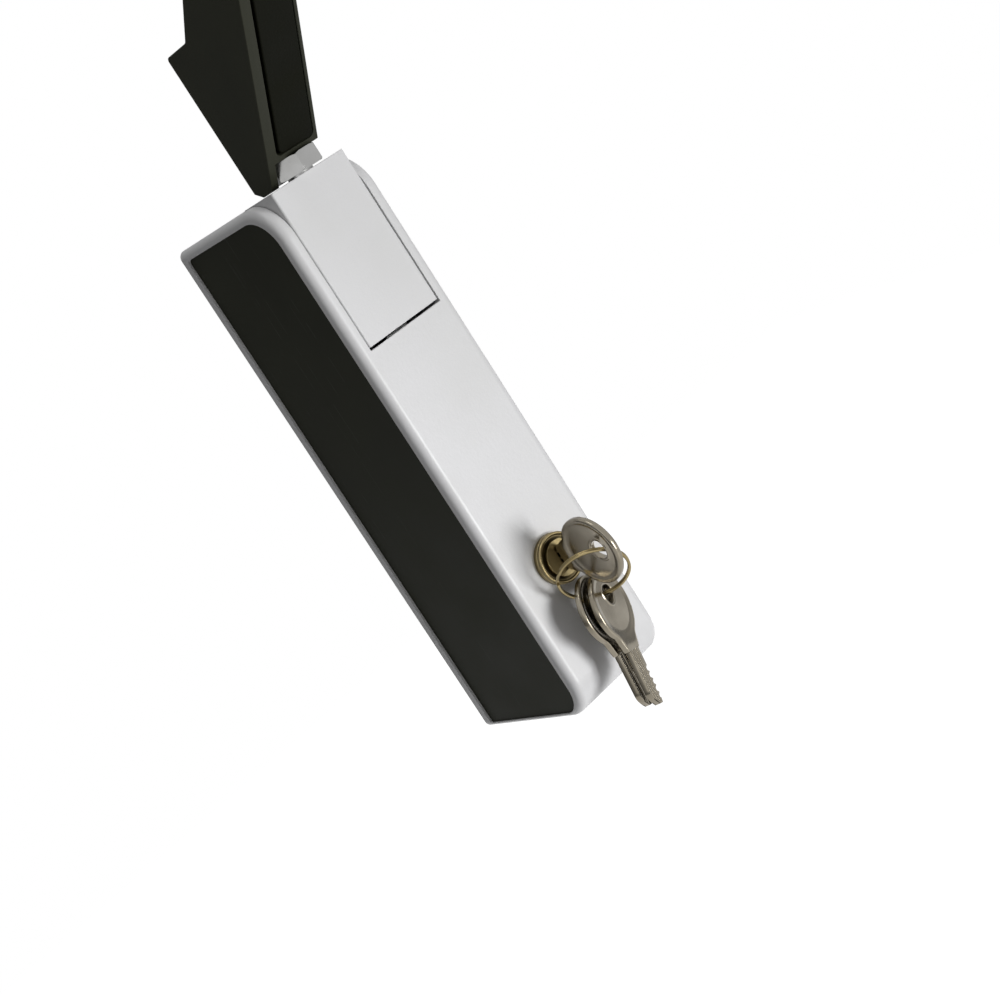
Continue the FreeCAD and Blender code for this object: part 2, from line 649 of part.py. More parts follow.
def lever_arm():
    """Black lever: a tapering bar that leans out, with a square heel behind the nut."""
    back_slope = math.tan(LEVER_BACK_LEAN)
    end_height = LEVER_TIP_HEIGHT + LEVER_TIP_RISE
    end_depth = SHOULDER_DEPTH - (end_height - SHOULDER_HEIGHT) * back_slope
    outline = [
        (LEVER_FRONT_DEPTH, -LEVER_BASE, 0),
        (HEEL_DEPTH, -LEVER_BASE, 0),
        (HEEL_DEPTH, -SHOULDER_HEIGHT, LEVER_CORNER),
        (SHOULDER_DEPTH, -SHOULDER_HEIGHT, LEVER_BACK_CREASE),
        (end_depth, -end_height, LEVER_TIP_RADIUS),
        (front_line(LEVER_TIP_HEIGHT), -LEVER_TIP_HEIGHT, LEVER_TIP_RADIUS),
    ]
    arm = side_plate(outline, (LEVER_LEFT, LEVER_RIGHT))
    cheek = side_plate([
        (front_line(LEVER_BASE + 1), -LEVER_BASE - 1, 0),
        (HEEL_DEPTH, -LEVER_BASE - 1, 0),
        (HEEL_DEPTH, -HEEL_BASE - HEEL_CHAMFER_HEIGHT, 0),
        (HEEL_DEPTH - HEEL_CHAMFER_DEPTH, -HEEL_BASE, 0),
        (front_line(HEEL_BASE), -HEEL_BASE, 0),
    ], (LEVER_LEFT, LEVER_LEFT + HEEL_CHEEK))
    arm = arm.fuse(cheek).removeSplitter()
    left = INSERT_LEFT - INSERT_GROOVE
    right = INSERT_RIGHT + INSERT_RIGHT_GAP
    recess = insert_solid(left, right, -INSERT_RECESS, INSERT_DEPTH, INSERT_END_GAP)
    socket = rod_z(STUD_RADIUS + FIXED_FIT, (-STUD_REACH - STUD_SOCKET_GAP, 0), STUD_X, STUD_DEPTH)
    return arm.cut([recess, socket])


def insert_solid(left, right, outside, inside, grow):
    """Slab along the lever's front face, from outside it to inside it, with round ends."""
    low = front_line(INSERT_LOW)
    high_z = LEVER_TIP_HEIGHT - INSERT_END_INSET
    start = spot(0, low, -INSERT_LOW)
    end = spot(0, front_line(high_z), -high_z)
    length = (end - start).Length
    corners = [
        (left, -grow, INSERT_CORNER),
        (right, -grow, INSERT_CORNER),
        (right, length + grow, INSERT_CORNER),
        (left, length + grow, INSERT_CORNER),
    ]
    wire = rounded_wire(corners, lambda p: Vector(p.x, p.y, 0))
    slab = Part.Face(wire).extrude(Vector(0, 0, outside - inside))
    slab.translate(Vector(0, 0, inside))
    along = (end - start).normalize()
    right_way = Vector(1, 0, 0)
    slab.Placement = Placement(start, Rotation(right_way, along, right_way.cross(along), "ZXY"))
    return slab


def grip_insert():
    """Inlaid grip strip on the front of the lever."""
    return insert_solid(INSERT_LEFT, INSERT_RIGHT, -INSERT_PROUD, INSERT_DEPTH, 0)


def rack_bar(front_teeth, back_teeth, x_range, faces, ends):
    """Flat bar with rack teeth on one or both faces; teeth are (pitch line, centre, low, high)."""
    points = [(faces[0], ends[0])]
    if front_teeth:
        points += rack_outline(*front_teeth, -1, MODULE, BACKLASH)
    points.append((faces[0], ends[1]))
    points.append((faces[1], ends[1]))
    if back_teeth:
        points += list(reversed(rack_outline(*back_teeth, 1, MODULE, BACKLASH)))
    points.append((faces[1], ends[0]))
    points.append(points[0])
    wire = Part.makePolygon([spot(x_range[0], depth, drop) for depth, drop in points])
    return Part.Face(wire).extrude(Vector(x_range[1] - x_range[0], 0, 0))


def drive_rack():
    """Rack that the sector lifts, toothed behind for the reversing pinion and notched for the lock."""
    half = RACK_WIDTH / 2
    reach = TRAVEL + RACK_MARGIN
    back_line = RACK_BACK + MODULE * DEDENDUM
    front = (RACK_PITCH_DEPTH, LEVER_PIN_DROP, LEVER_PIN_DROP - RACK_MARGIN, LEVER_PIN_DROP + reach)
    back = (back_line, PINION_DROP, PINION_DROP - RACK_MARGIN, PINION_DROP + reach)
    ends = (DRIVE_RACK_TOP, CASE_LENGTH - DRIVE_RACK_RISE)
    rack = rack_bar(front, back, (-half, half), (RACK_FRONT, RACK_BACK), ends)
    notches = []
    top = lock_slide_top() - LOCK_NOSE_GAP
    bottom = lock_slide_top() + LOCK_SLIDE_HEIGHT + LOCK_NOSE_GAP
    through = (RACK_FRONT - 1, RACK_BACK + 1)
    for shift in (0, TRAVEL):
        notches.append(block((half - NOTCH_DEPTH, half + 1), through, (top + shift, bottom + shift)))
    spigot_ends = (DRIVE_RACK_TOP - RACK_SPIGOT_LENGTH, DRIVE_RACK_TOP)
    spigot = rod_z(SPIGOT_RADIUS, spigot_ends, 0, (RACK_FRONT + RACK_BACK) / 2)
    return rack.cut(notches).fuse(spigot).removeSplitter()


def bottom_link():
    """Cranked link from the drive rack back to the line of the rods."""
    half = RACK_WIDTH / 2
    low = LINK_TOP + LINK_HEIGHT
    web = block((-half, half), (RACK_BACK, BAR_BACK), (LINK_TOP, low))
    hole = rod_z(ROD_TENON_RADIUS + FIXED_FIT, (low - ROD_TENON_LENGTH - 1, low + 1), 0, ROD_DEPTH)
    return web.cut(hole)


def rod_socket(plain_end, open_end, direction):
    """Round rod socket with a threaded hole in its outer end and a tenon at its inner one."""
    drops = (min(plain_end, open_end), max(plain_end, open_end))
    body = rod_z(ROD_RADIUS, drops, 0, ROD_DEPTH)
    tenon_end = plain_end + direction * ROD_TENON_LENGTH
    tenon = rod_z(ROD_TENON_RADIUS, (min(plain_end, tenon_end), max(plain_end, tenon_end)), 0, ROD_DEPTH)
    thread_end = open_end + direction * ROD_THREAD_LENGTH
    outside = open_end - direction
    thread = rod_z(ROD_THREAD_RADIUS, (min(thread_end, outside), max(thread_end, outside)), 0, ROD_DEPTH)
    return body.fuse(tenon).cut(thread).removeSplitter()


def top_bar():
    """Rack bar that pulls the top rod down and carries the slanted slot of the side bolt."""
    half = RACK_WIDTH / 2
    pitch_line = BAR_FRONT - MODULE * DEDENDUM
    front = (pitch_line, PINION_DROP, PINION_DROP - TRAVEL - RACK_MARGIN, PINION_DROP + RACK_MARGIN)
    bottom = PINION_DROP + RACK_MARGIN + TOP_BAR_FOOT
    bar = rack_bar(front, None, (-half, half), (BAR_FRONT, BAR_BACK), (TOP_BAR_TOP, bottom))
    reach = BOLT_PIN_RADIUS + CAM_END_WALL
    cam_top = BOLT_PIN_DROP - TRAVEL - reach
    cam_bottom = BOLT_PIN_DROP + reach
    cam = front_plate([
        (-CAM_HALF_WIDTH, cam_top, 4.0),
        (CAM_HALF_WIDTH, cam_top, 4.0),
        (CAM_HALF_WIDTH, cam_bottom, 4.0),
        (-CAM_HALF_WIDTH, cam_bottom, 4.0),
    ], (BAR_FRONT, BAR_BACK))
    slot = slanted_slot()
    hole_ends = (TOP_BAR_TOP - 1, TOP_BAR_TOP + ROD_TENON_LENGTH + TENON_END_GAP)
    hole = rod_z(ROD_TENON_RADIUS + FIXED_FIT, hole_ends, 0, ROD_DEPTH)
    return bar.fuse(cam).cut([slot, hole]).removeSplitter()


def slanted_slot():
    """Slot that pushes the bolt pin sideways as the bar moves down past it."""
    radius = BOLT_PIN_RADIUS + CAM_SLOT_CLEARANCE
    start = spot(BOLT_PIN_START, BAR_FRONT - 1, BOLT_PIN_DROP)
    end = spot(BOLT_PIN_START - BOLT_THROW, BAR_FRONT - 1, BOLT_PIN_DROP - TRAVEL)
    length = BAR_THICKNESS + 2
    along = (end - start).normalize()
    across = Vector(0, 1, 0).cross(along) * radius
    ends = [Part.makeCylinder(radius, length, point, Vector(0, 1, 0)) for point in (start, end)]
    corners = [start + across, end + across, end - across, start - across, start + across]
    middle = Part.Face(Part.makePolygon(corners)).extrude(Vector(0, length, 0))
    return ends[0].fuse([ends[1], middle]).removeSplitter()


def full_gear(teeth, module, backlash, width):
    """Spur gear along +Z from its centre, tooth 0 on +X."""
    points = []
    for radius, angle in gear_outline(teeth, module, backlash, 0, teeth - 1):
        points.append(Vector(radius * math.cos(angle), radius * math.sin(angle), 0))
    points.append(points[0])
    return Part.Face(Part.makePolygon(points)).extrude(Vector(0, 0, width))


def reversing_pinion():
    """Pinion between the two racks, which makes the rods move opposite ways."""
    gear = full_gear(PINION_TEETH, MODULE, BACKLASH, PINION_WIDTH)
    start = spot(-PINION_WIDTH / 2, PINION_DEPTH, PINION_DROP)
    gear.Placement = Placement(start, Rotation(Vector(0, 1, 0), Vector(0, 0, 1), Vector(1, 0, 0), "ZXY"))
    half = PINION_WIDTH / 2
    return gear.cut(rod_x(PINION_AXLE_RADIUS + RUNNING_FIT, (-half - 1, half + 1), PINION_DEPTH, PINION_DROP))


def pinion_axle():
    """Axle of the reversing pinion, held in both side walls."""
    return rod_x(PINION_AXLE_RADIUS, (-PANEL_SEAT, PANEL_SEAT), PINION_DEPTH, PINION_DROP)


def pinion_spacers():
    """Two sleeves that keep the pinion in the middle of its axle."""
    inner = PINION_WIDTH / 2 + LOOSE_FIT
    sleeves = []
    for low, high in ((-INNER_HALF, -inner), (inner, INNER_HALF)):
        sleeve = rod_x(PINION_AXLE_RADIUS + 2, (low, high), PINION_DEPTH, PINION_DROP)
        bore = rod_x(PINION_AXLE_RADIUS + FIXED_FIT, (low - 1, high + 1), PINION_DEPTH, PINION_DROP)
        sleeves.append(sleeve.cut(bore))
    return Part.Compound(sleeves)


def rod_guide(drop_range):
    """Guide block on the back plate with a running bore for a rod socket."""
    front = ROD_DEPTH - ROD_RADIUS - GUIDE_FRONT_WALL
    guide = block((-GUIDE_HALF_WIDTH, GUIDE_HALF_WIDTH), (front, PLATE_FRONT), drop_range)
    bore = rod_z(ROD_RADIUS + RUNNING_FIT, (drop_range[0] - 1, drop_range[1] + 1), 0, ROD_DEPTH)
    return guide.cut(bore)


def rack_guides():
    """Two cross blocks between the side walls that keep the drive rack in line."""
    half = RACK_WIDTH / 2 + 0.1
    guides = []
    low_guide = lock_slide_top() - SLIDE_GUIDE_GAP - SLIDE_GUIDE_RAIL - RACK_GUIDE_GAP - RACK_GUIDE_HEIGHT
    for drop in (RACK_GUIDE_TOP, low_guide):
        ends = (drop, drop + RACK_GUIDE_HEIGHT)
        depths = (RACK_FRONT - RACK_GUIDE_FRONT, RACK_BACK + MODULE * (ADDENDUM + DEDENDUM) + 2)
        body = block((-INNER_HALF, INNER_HALF), depths, ends)
        window_back = depths[1] + 1
        window = block((-half, half), (RACK_FRONT - 0.1, window_back), (ends[0] - 1, ends[1] + 1))
        guides.append(body.cut(window))
    return Part.Compound(guides)


def side_bolt():
    """Square bolt that shoots out of the right side of the case."""
    nose = HALF_WIDTH + BOLT_THROW
    half = BOLT_HEIGHT / 2
    bolt = front_plate([
        (-BOLT_TAIL, BOLT_PIN_DROP - half, 0),
        (nose, BOLT_PIN_DROP - half, BOLT_NOSE_CHAMFER),
        (nose, BOLT_PIN_DROP + half, BOLT_NOSE_CHAMFER),
        (-BOLT_TAIL, BOLT_PIN_DROP + half, 0),
    ], (BOLT_FRONT, BOLT_BACK))
    hole_depths = (BOLT_FRONT - 1, BOLT_BACK - BOLT_PIN_FLOOR)
    hole = rod_y(BOLT_PIN_RADIUS + FIXED_FIT, hole_depths, BOLT_PIN_START, BOLT_PIN_DROP)
    return bolt.cut(hole)


def bolt_pin():
    """Pin in the bolt that rides in the slanted slot."""
    depths = (BAR_FRONT - BOLT_PIN_PROUD, BOLT_BACK - BOLT_PIN_FLOOR - 0.2)
    return rod_y(BOLT_PIN_RADIUS, depths, BOLT_PIN_START, BOLT_PIN_DROP)


def bolt_rails():
    """Two rails on the back plate, above and below the bolt."""
    half = BOLT_HEIGHT / 2 + RUNNING_FIT
    rails = []
    for low, high in ((-half - BOLT_RAIL_HEIGHT, -half), (half, half + BOLT_RAIL_HEIGHT)):
        drops = (BOLT_PIN_DROP + low, BOLT_PIN_DROP + high)
        rails.append(block((-INNER_HALF + 1, INNER_HALF - 1), (BOLT_FRONT, PLATE_FRONT), drops))
    return Part.Compound(rails)


def return_spring():
    """Compression spring above the drive rack, wound from tilted half turns of faceted wire."""
    low = DRIVE_RACK_TOP - SPRING_WIRE_RADIUS
    high = END_WALL + SPRING_WIRE_RADIUS
    step = (low - high) / (2 * SPRING_TURNS)
    half_turns = []
    for index in range(2 * SPRING_TURNS):
        side = 1 if index % 2 == 0 else -1
        start = Vector(side * SPRING_COIL_RADIUS, 0, index * step)
        end = Vector(-side * SPRING_COIL_RADIUS, 0, (index + 1) * step)
        bulge = Vector(0, side * (end - start).Length / 2, 0)
        half_turns.append(Part.Arc(start, (start + end) / 2 + bulge, end).toShape())
    rim = []
    for corner in range(SPRING_WIRE_SIDES + 1):
        angle = 2 * math.pi * corner / SPRING_WIRE_SIDES
        across = SPRING_COIL_RADIUS + SPRING_WIRE_RADIUS * math.cos(angle)
        rim.append(Vector(across, 0, SPRING_WIRE_RADIUS * math.sin(angle)))
    coil = Part.Wire(half_turns).makePipeShell([Part.makePolygon(rim)], True, True)
    coil.translate(spot(0, (RACK_FRONT + RACK_BACK) / 2, low))
    return coil


def spring_spigot():
    """Spigot that hangs from the top wall and keeps the spring straight."""
    depth = (RACK_FRONT + RACK_BACK) / 2
    return rod_z(SPIGOT_RADIUS, (END_WALL, END_WALL + SPIGOT_LENGTH), 0, depth)


def keyway(depth_range, play):
    """Room for the key blade inside the plug."""
    half = KEY_THICKNESS / 2 + play
    height = KEY_BLADE_HEIGHT / 2 + play
    return block((-half, half), depth_range, (CYLINDER_DROP - height, CYLINDER_DROP + height))


def cylinder_body():
    """Cylinder housing with a flat head, clamped through the front wall."""
    barrel = rod_y(CYLINDER_RADIUS, (-CYLINDER_PROUD, CYLINDER_LENGTH), 0, CYLINDER_DROP)
    head_back = CYLINDER_HEAD_THICKNESS - CYLINDER_PROUD
    head = rod_y(CYLINDER_HEAD_RADIUS, (-CYLINDER_PROUD, head_back), 0, CYLINDER_DROP)
    body = barrel.fuse(head)
    bore = rod_y(PLUG_RADIUS + RUNNING_FIT, (-CYLINDER_PROUD - 1, CYLINDER_LENGTH + 1), 0, CYLINDER_DROP)
    return body.cut(bore)


def cylinder_rosette():
    """Brass ring with a rounded rim, let in under the head of the cylinder."""
    rim_inner = CYLINDER_HEAD_RADIUS + FIXED_FIT
    seat = CYLINDER_HEAD_THICKNESS - CYLINDER_PROUD
    bore = CYLINDER_RADIUS + FIXED_FIT
    profile = [
        (bore, 0, 0),
        (ROSETTE_RADIUS, 0, 0),
        (ROSETTE_RADIUS, -CYLINDER_PROUD, ROSETTE_ROUND),
        (rim_inner, -CYLINDER_PROUD, 0),
        (rim_inner, seat, 0),
        (bore, seat, 0),
    ]
    wire = rounded_wire(profile, lambda p: spot(p.x, p.y, CYLINDER_DROP))
    return Part.Face(wire).revolve(spot(0, 0, CYLINDER_DROP), Vector(0, 1, 0), 360)


def cylinder_nut():
    """Nut behind the front wall that clamps the cylinder."""
    start = spot(0, FRONT_WALL, CYLINDER_DROP)
    nut = hexagon(CYLINDER_NUT_FLATS, Vector(0, 1, 0), start, CYLINDER_NUT_THICKNESS, 0)
    through = (FRONT_WALL - 1, FRONT_WALL + CYLINDER_NUT_THICKNESS + 1)
    return nut.cut(rod_y(CYLINDER_RADIUS + FIXED_FIT, through, 0, CYLINDER_DROP))


def wafer_depths():
    """Depth of the front of each wafer in the plug."""
    return [WAFER_START + WAFER_PITCH * index for index in range(WAFER_COUNT)]


def key_plug():
    """Plug that the key turns, slotted for the wafers, with a square tail."""
    face_front = -CYLINDER_PROUD - PLUG_FACE_THICKNESS - 0.1
    face = rod_y(PLUG_FACE_RADIUS, (face_front, -CYLINDER_PROUD - 0.1), 0, CYLINDER_DROP)
    body = rod_y(PLUG_RADIUS, (-CYLINDER_PROUD - 0.1, CYLINDER_LENGTH), 0, CYLINDER_DROP)
    tail = rod_y(LOCK_TAIL_RADIUS, (CYLINDER_LENGTH, LOCK_PLANE + LOCK_PINION_WIDTH), 0, CYLINDER_DROP)
    plug = face.fuse([body, tail]).removeSplitter()
    slots = []
    half = WAFER_WIDTH / 2 + WAFER_GAP
    drops = (CYLINDER_DROP - PLUG_RADIUS - 1, CYLINDER_DROP + PLUG_RADIUS + 1)
    for depth in wafer_depths():
        slots.append(block((-half, half), (depth - WAFER_GAP, depth + WAFER_THICKNESS + WAFER_GAP), drops))
    way = keyway((face_front - 1, KEYWAY_END), KEY_PLAY)
    tail_end = LOCK_PLANE + LOCK_PINION_WIDTH
    hole_depths = (tail_end - TAIL_SCREW_LENGTH, tail_end + 1)
    screw_hole = rod_y(TAIL_SCREW_RADIUS + FIXED_FIT, hole_depths, 0, CYLINDER_DROP)
    return plug.cut(slots + [way, screw_hole])


def tail_screw():
    """Screw in the tail of the plug that keeps the small pinion on."""
    tail_end = LOCK_PLANE + LOCK_PINION_WIDTH
    shank = rod_y(TAIL_SCREW_RADIUS, (tail_end - TAIL_SCREW_LENGTH + 0.5, tail_end), 0, CYLINDER_DROP)
    head = rod_y(TAIL_SCREW_HEAD_RADIUS, (tail_end, tail_end + TAIL_SCREW_HEAD), 0, CYLINDER_DROP)
    slot_depths = (tail_end + TAIL_SCREW_HEAD - SCREW_SLOT_DEPTH, tail_end + TAIL_SCREW_HEAD + 1)
    slot_drops = (CYLINDER_DROP - TAIL_SCREW_HEAD_RADIUS - 1, CYLINDER_DROP + TAIL_SCREW_HEAD_RADIUS + 1)
    slot = block((-SCREW_SLOT_WIDTH / 2, SCREW_SLOT_WIDTH / 2), slot_depths, slot_drops)
    return shank.fuse(head).cut(slot)


def wafer_tumblers():
    """Five flat wafers in the plug, lined up by the key."""
    wafers = []
    half = WAFER_WIDTH / 2
    reach = math.sqrt(PLUG_RADIUS ** 2 - half ** 2)
    drops = (CYLINDER_DROP - reach, CYLINDER_DROP + reach)
    for depth in wafer_depths():
        wafer = block((-half, half), (depth, depth + WAFER_THICKNESS), drops)
        wafers.append(wafer.cut(keyway((depth - 1, depth + WAFER_THICKNESS + 1), KEY_PLAY)))
    return Part.Compound(wafers)


def lock_pinion():
    """Small pinion on the tail of the plug that drives the locking slide."""
    gear = full_gear(LOCK_PINION_TEETH, LOCK_MODULE, LOCK_BACKLASH, LOCK_PINION_WIDTH)
    turn = Rotation(Vector(0, 0, 1), Vector(1, 0, 0), Vector(0, 1, 0), "ZXY")
    gear.Placement = Placement(spot(0, LOCK_PLANE, CYLINDER_DROP), turn)
    through = (LOCK_PLANE - 1, LOCK_PLANE + LOCK_PINION_WIDTH + 1)
    return gear.cut(rod_y(LOCK_TAIL_RADIUS + FIXED_FIT, through, 0, CYLINDER_DROP))


def lock_slide_top():
    """Drop of the upper edge of the locking slide."""
    return CYLINDER_DROP - LOCK_PINION_RADIUS - LOCK_MODULE * DEDENDUM - LOCK_SLIDE_HEIGHT


def locking_slide():
    """Toothed slide whose nose enters the notch in the drive rack when the key is turned."""
    pitch_drop = CYLINDER_DROP - LOCK_PINION_RADIUS
    root = pitch_drop - LOCK_MODULE * DEDENDUM
    top = lock_slide_top()
    teeth_ends = (-LOCK_TEETH_MARGIN, LOCK_TRAVEL + LOCK_TEETH_MARGIN)
    teeth = rack_outline(pitch_drop, 0, *teeth_ends, 1, LOCK_MODULE, LOCK_BACKLASH)
    points = [(LOCK_SLIDE_LEFT, top), (LOCK_SLIDE_LEFT, root)]
    points += [(along, across) for across, along in teeth]
    points += [(LOCK_NOSE_RIGHT, root), (LOCK_NOSE_RIGHT, top), (LOCK_SLIDE_LEFT, top)]
    wire = Part.makePolygon([spot(x, LOCK_PLANE, drop) for x, drop in points])
    plate = Part.Face(wire).extrude(Vector(0, LOCK_PINION_WIDTH, 0))
    nose = block((LOCK_NOSE_LEFT, LOCK_NOSE_RIGHT), (LOCK_PLANE, RACK_BACK - 0.5), (top, root))
    return plate.fuse(nose).removeSplitter()


def slide_guide():
    """Rail across the case above the locking slide, with a lip in front and one behind."""
    wide = (-INNER_HALF, INNER_HALF)
    top = lock_slide_top() - SLIDE_GUIDE_GAP
    over = lock_slide_top() + SLIDE_GUIDE_LIP
    front = LOCK_PLANE - SLIDE_GUIDE_GAP - SLIDE_GUIDE_LIP
    back = LOCK_PLANE + LOCK_PINION_WIDTH
    behind = back + SLIDE_GUIDE_GAP
    rail = block(wide, (front, behind + SLIDE_GUIDE_LIP), (top - SLIDE_GUIDE_RAIL, top))
    lip = block(wide, (front, front + SLIDE_GUIDE_LIP), (top - 1, over))
    keeper = block((-INNER_HALF, -SLIDE_GUIDE_GAP), (behind, behind + SLIDE_GUIDE_LIP), (top - 1, over))
    return rail.fuse([lip, keeper]).removeSplitter()


def key_shape():
    """Flat key with its bow centred on the origin, its blade along +X and its cuts on the +Y edge."""
    under = Vector(0, 0, -KEY_THICKNESS / 2)
    bow = Part.makeCylinder(KEY_BOW_RADIUS, KEY_THICKNESS, under)
    shoulder = KEY_BOW_RADIUS + KEY_SHOULDER
    neck_start = math.sqrt(KEY_BOW_RADIUS ** 2 - KEY_NECK_HALF ** 2)
    bottom = -KEY_BLADE_HEIGHT / 2
    top = KEY_BLADE_HEIGHT / 2
    tip = shoulder + KEY_BLADE_LENGTH
    edge = []
    for depth, cut in zip(wafer_depths(), KEY_CUTS):
        middle = shoulder + depth + WAFER_THICKNESS / 2 - key_stop_depth()
        edge += [(middle - 0.5 - cut / 2, top), (middle - 0.5, top - cut)]
        edge += [(middle + 0.5, top - cut), (middle + 0.5 + cut / 2, top)]
    points = [(0, -KEY_NECK_HALF), (neck_start, -KEY_NECK_HALF), (shoulder, -KEY_SHOULDER_HALF)]
    points += [(shoulder, bottom), (tip - 2.5, bottom), (tip, bottom + 2.0), (tip, top - 2.0)]
    points += reversed(edge)
    points += [(shoulder, top), (shoulder, KEY_SHOULDER_HALF)]
    points += [(neck_start, KEY_NECK_HALF), (0, KEY_NECK_HALF), points[0]]
    wire = Part.makePolygon([Vector(x, y, 0) + under for x, y in points])
    blade = Part.Face(wire).extrude(Vector(0, 0, KEY_THICKNESS))
    key = bow.fuse(blade).removeSplitter()
    hole = Part.makeCylinder(KEY_HOLE_RADIUS, KEY_THICKNESS + 2, Vector(-KEY_HOLE_OFFSET, 0, 0) + under * 2)
    groove_start = Vector(shoulder - 3, bottom + KEY_GROOVE_WIDTH, KEY_THICKNESS / 2 - KEY_GROOVE)
    groove = Part.makeBox(KEY_BLADE_LENGTH + 4, KEY_GROOVE_WIDTH, KEY_GROOVE + 1, groove_start)
    return key.cut([hole, groove])


def key_stop_depth():
    """Depth of the key's shoulder when it stands in the cylinder."""
    return -CYLINDER_PROUD - PLUG_FACE_THICKNESS - 0.1 - KEY_STOP_GAP


def bow_centre():
    """Centre of the bow of the key that stands in the cylinder."""
    return spot(0, key_stop_depth() - KEY_BOW_RADIUS - KEY_SHOULDER, CYLINDER_DROP)


def inserted_key():
    """Key in the cylinder, its blade in the keyway."""
    key = key_shape()
    level = Rotation(Vector(0, 1, 0), Vector(0, 0, 1), Vector(1, 0, 0), "ZXY")
    key.Placement = Placement(bow_centre(), level)
    return key


def ring_frame():
    """Centre of the ring and its two directions: level across and down the slope."""
    yaw = math.radians(RING_YAW)
    tilt = math.radians(RING_TILT)
    seat_angle = math.radians(RING_SEAT_ANGLE)
    across = Vector(-math.cos(yaw), math.sin(yaw), 0)
    down = Vector(math.sin(yaw) * math.sin(tilt), math.cos(yaw) * math.sin(tilt), -math.cos(tilt))
    seat = bow_centre() - Vector(0, KEY_HOLE_OFFSET, RING_SAG)
    to_seat = down * math.cos(seat_angle) + across * math.sin(seat_angle)
    return seat - to_seat * RING_RADIUS, across, down


def ring_point(degrees):
    """Point on the ring's line, counted from its lowest point towards the case."""
    centre, across, down = ring_frame()
    angle = math.radians(degrees)
    return centre + (down * math.cos(angle) + across * math.sin(angle)) * RING_RADIUS


def key_ring():
    """Flat ring through the three keys."""
    centre, across, down = ring_frame()
    normal = across.cross(down)
    start = centre - normal * (RING_THICKNESS / 2)
    disc = Part.makeCylinder(RING_RADIUS + RING_WIDTH / 2, RING_THICKNESS, start, normal)
    return disc.cut(Part.makeCylinder(RING_RADIUS - RING_WIDTH / 2, RING_THICKNESS, start, normal))


def spare_key(ring_angle, lean_angle):
    """Key that hangs from the ring at this angle round it, leaning by the other angle."""
    upright = Rotation(Vector(0, 0, -1), Vector(1, 0, 0), Vector(0, -1, 0), "ZXY")
    lean = Rotation(Vector(0, 1, 0), lean_angle)
    yaw = Rotation(Vector(0, 0, 1), SPARE_KEY_YAW)
    turn = yaw * lean * upright
    hole = ring_point(ring_angle) - Vector(0, 0, RING_SAG)
    key = key_shape()
    key.Placement = Placement(hole + turn.multVec(Vector(KEY_HOLE_OFFSET, 0, 0)), turn)
    return key


def build():
    """Every sub-part by its name."""
    top_end = ROD_END_INSET
    bottom_end = CASE_LENGTH - ROD_END_INSET
    link_bottom = LINK_TOP + LINK_HEIGHT
    return {
        "case_shell": case_shell(),
        "left_side_panel": side_panel(-1),
        "right_side_panel": side_panel(1),
        "back_plate": back_plate(),
        "back_plate_screws": back_plate_screws(),
        "lever_pin": lever_pin(),
        "lever_hub": lever_hub(),
        "drive_sector": drive_sector(),
        "sector_pins": sector_pins(),
        "hub_bushes": hub_bushes(),
        "lever_stud": lever_stud(),
        "lock_nut": lock_nut(),
        "lever_arm": lever_arm(),
        "grip_insert": grip_insert(),
        "drive_rack": drive_rack(),
        "bottom_link": bottom_link(),
        "bottom_rod_socket": rod_socket(link_bottom, bottom_end, -1),
        "top_bar": top_bar(),
        "top_rod_socket": rod_socket(TOP_BAR_TOP, top_end, 1),
        "reversing_pinion": reversing_pinion(),
        "pinion_axle": pinion_axle(),
        "pinion_spacers": pinion_spacers(),
        "top_rod_guide": rod_guide((END_WALL, TOP_BAR_TOP - TOP_GUIDE_BAR_GAP)),
        "bottom_rod_guide": rod_guide((CASE_LENGTH - END_WALL - BOTTOM_GUIDE_LENGTH, CASE_LENGTH - END_WALL)),
        "rack_guides": rack_guides(),
        "side_bolt": side_bolt(),
        "bolt_pin": bolt_pin(),
        "bolt_rails": bolt_rails(),
        "return_spring": return_spring(),
        "spring_spigot": spring_spigot(),
        "cylinder_body": cylinder_body(),
        "cylinder_rosette": cylinder_rosette(),
        "cylinder_nut": cylinder_nut(),
        "key_plug": key_plug(),
        "wafer_tumblers": wafer_tumblers(),
        "lock_pinion": lock_pinion(),
        "tail_screw": tail_screw(),
        "locking_slide": locking_slide(),
        "slide_guide": slide_guide(),
        "inserted_key": inserted_key(),
        "key_ring": key_ring(),
        "spare_key_front": spare_key(FRONT_KEY_ANGLE, FRONT_KEY_LEAN),
        "spare_key_back": spare_key(BACK_KEY_ANGLE, BACK_KEY_LEAN),
    }


os.makedirs("parts", exist_ok=True)
for name, shape in build().items():
    shape.exportStep("parts/" + name + ".step")
    print(name, len(shape.Solids), round(shape.Volume, 1), shape.isValid())
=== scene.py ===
# %% [markdown]
# This lesson dresses a three-point lock: a grey cast case that is screwed to a door,
# with dark side panels, a black lever on top and a key cylinder with its keys.
# The rigid shapes are loaded as a fixed frame, in metres, and we add finishes,
# light and the small pieces that a plain solid can't show well.
# %% Load the frame
import json
import math
import bmesh
import bpy
import numpy as np
from mathutils import Matrix, Vector


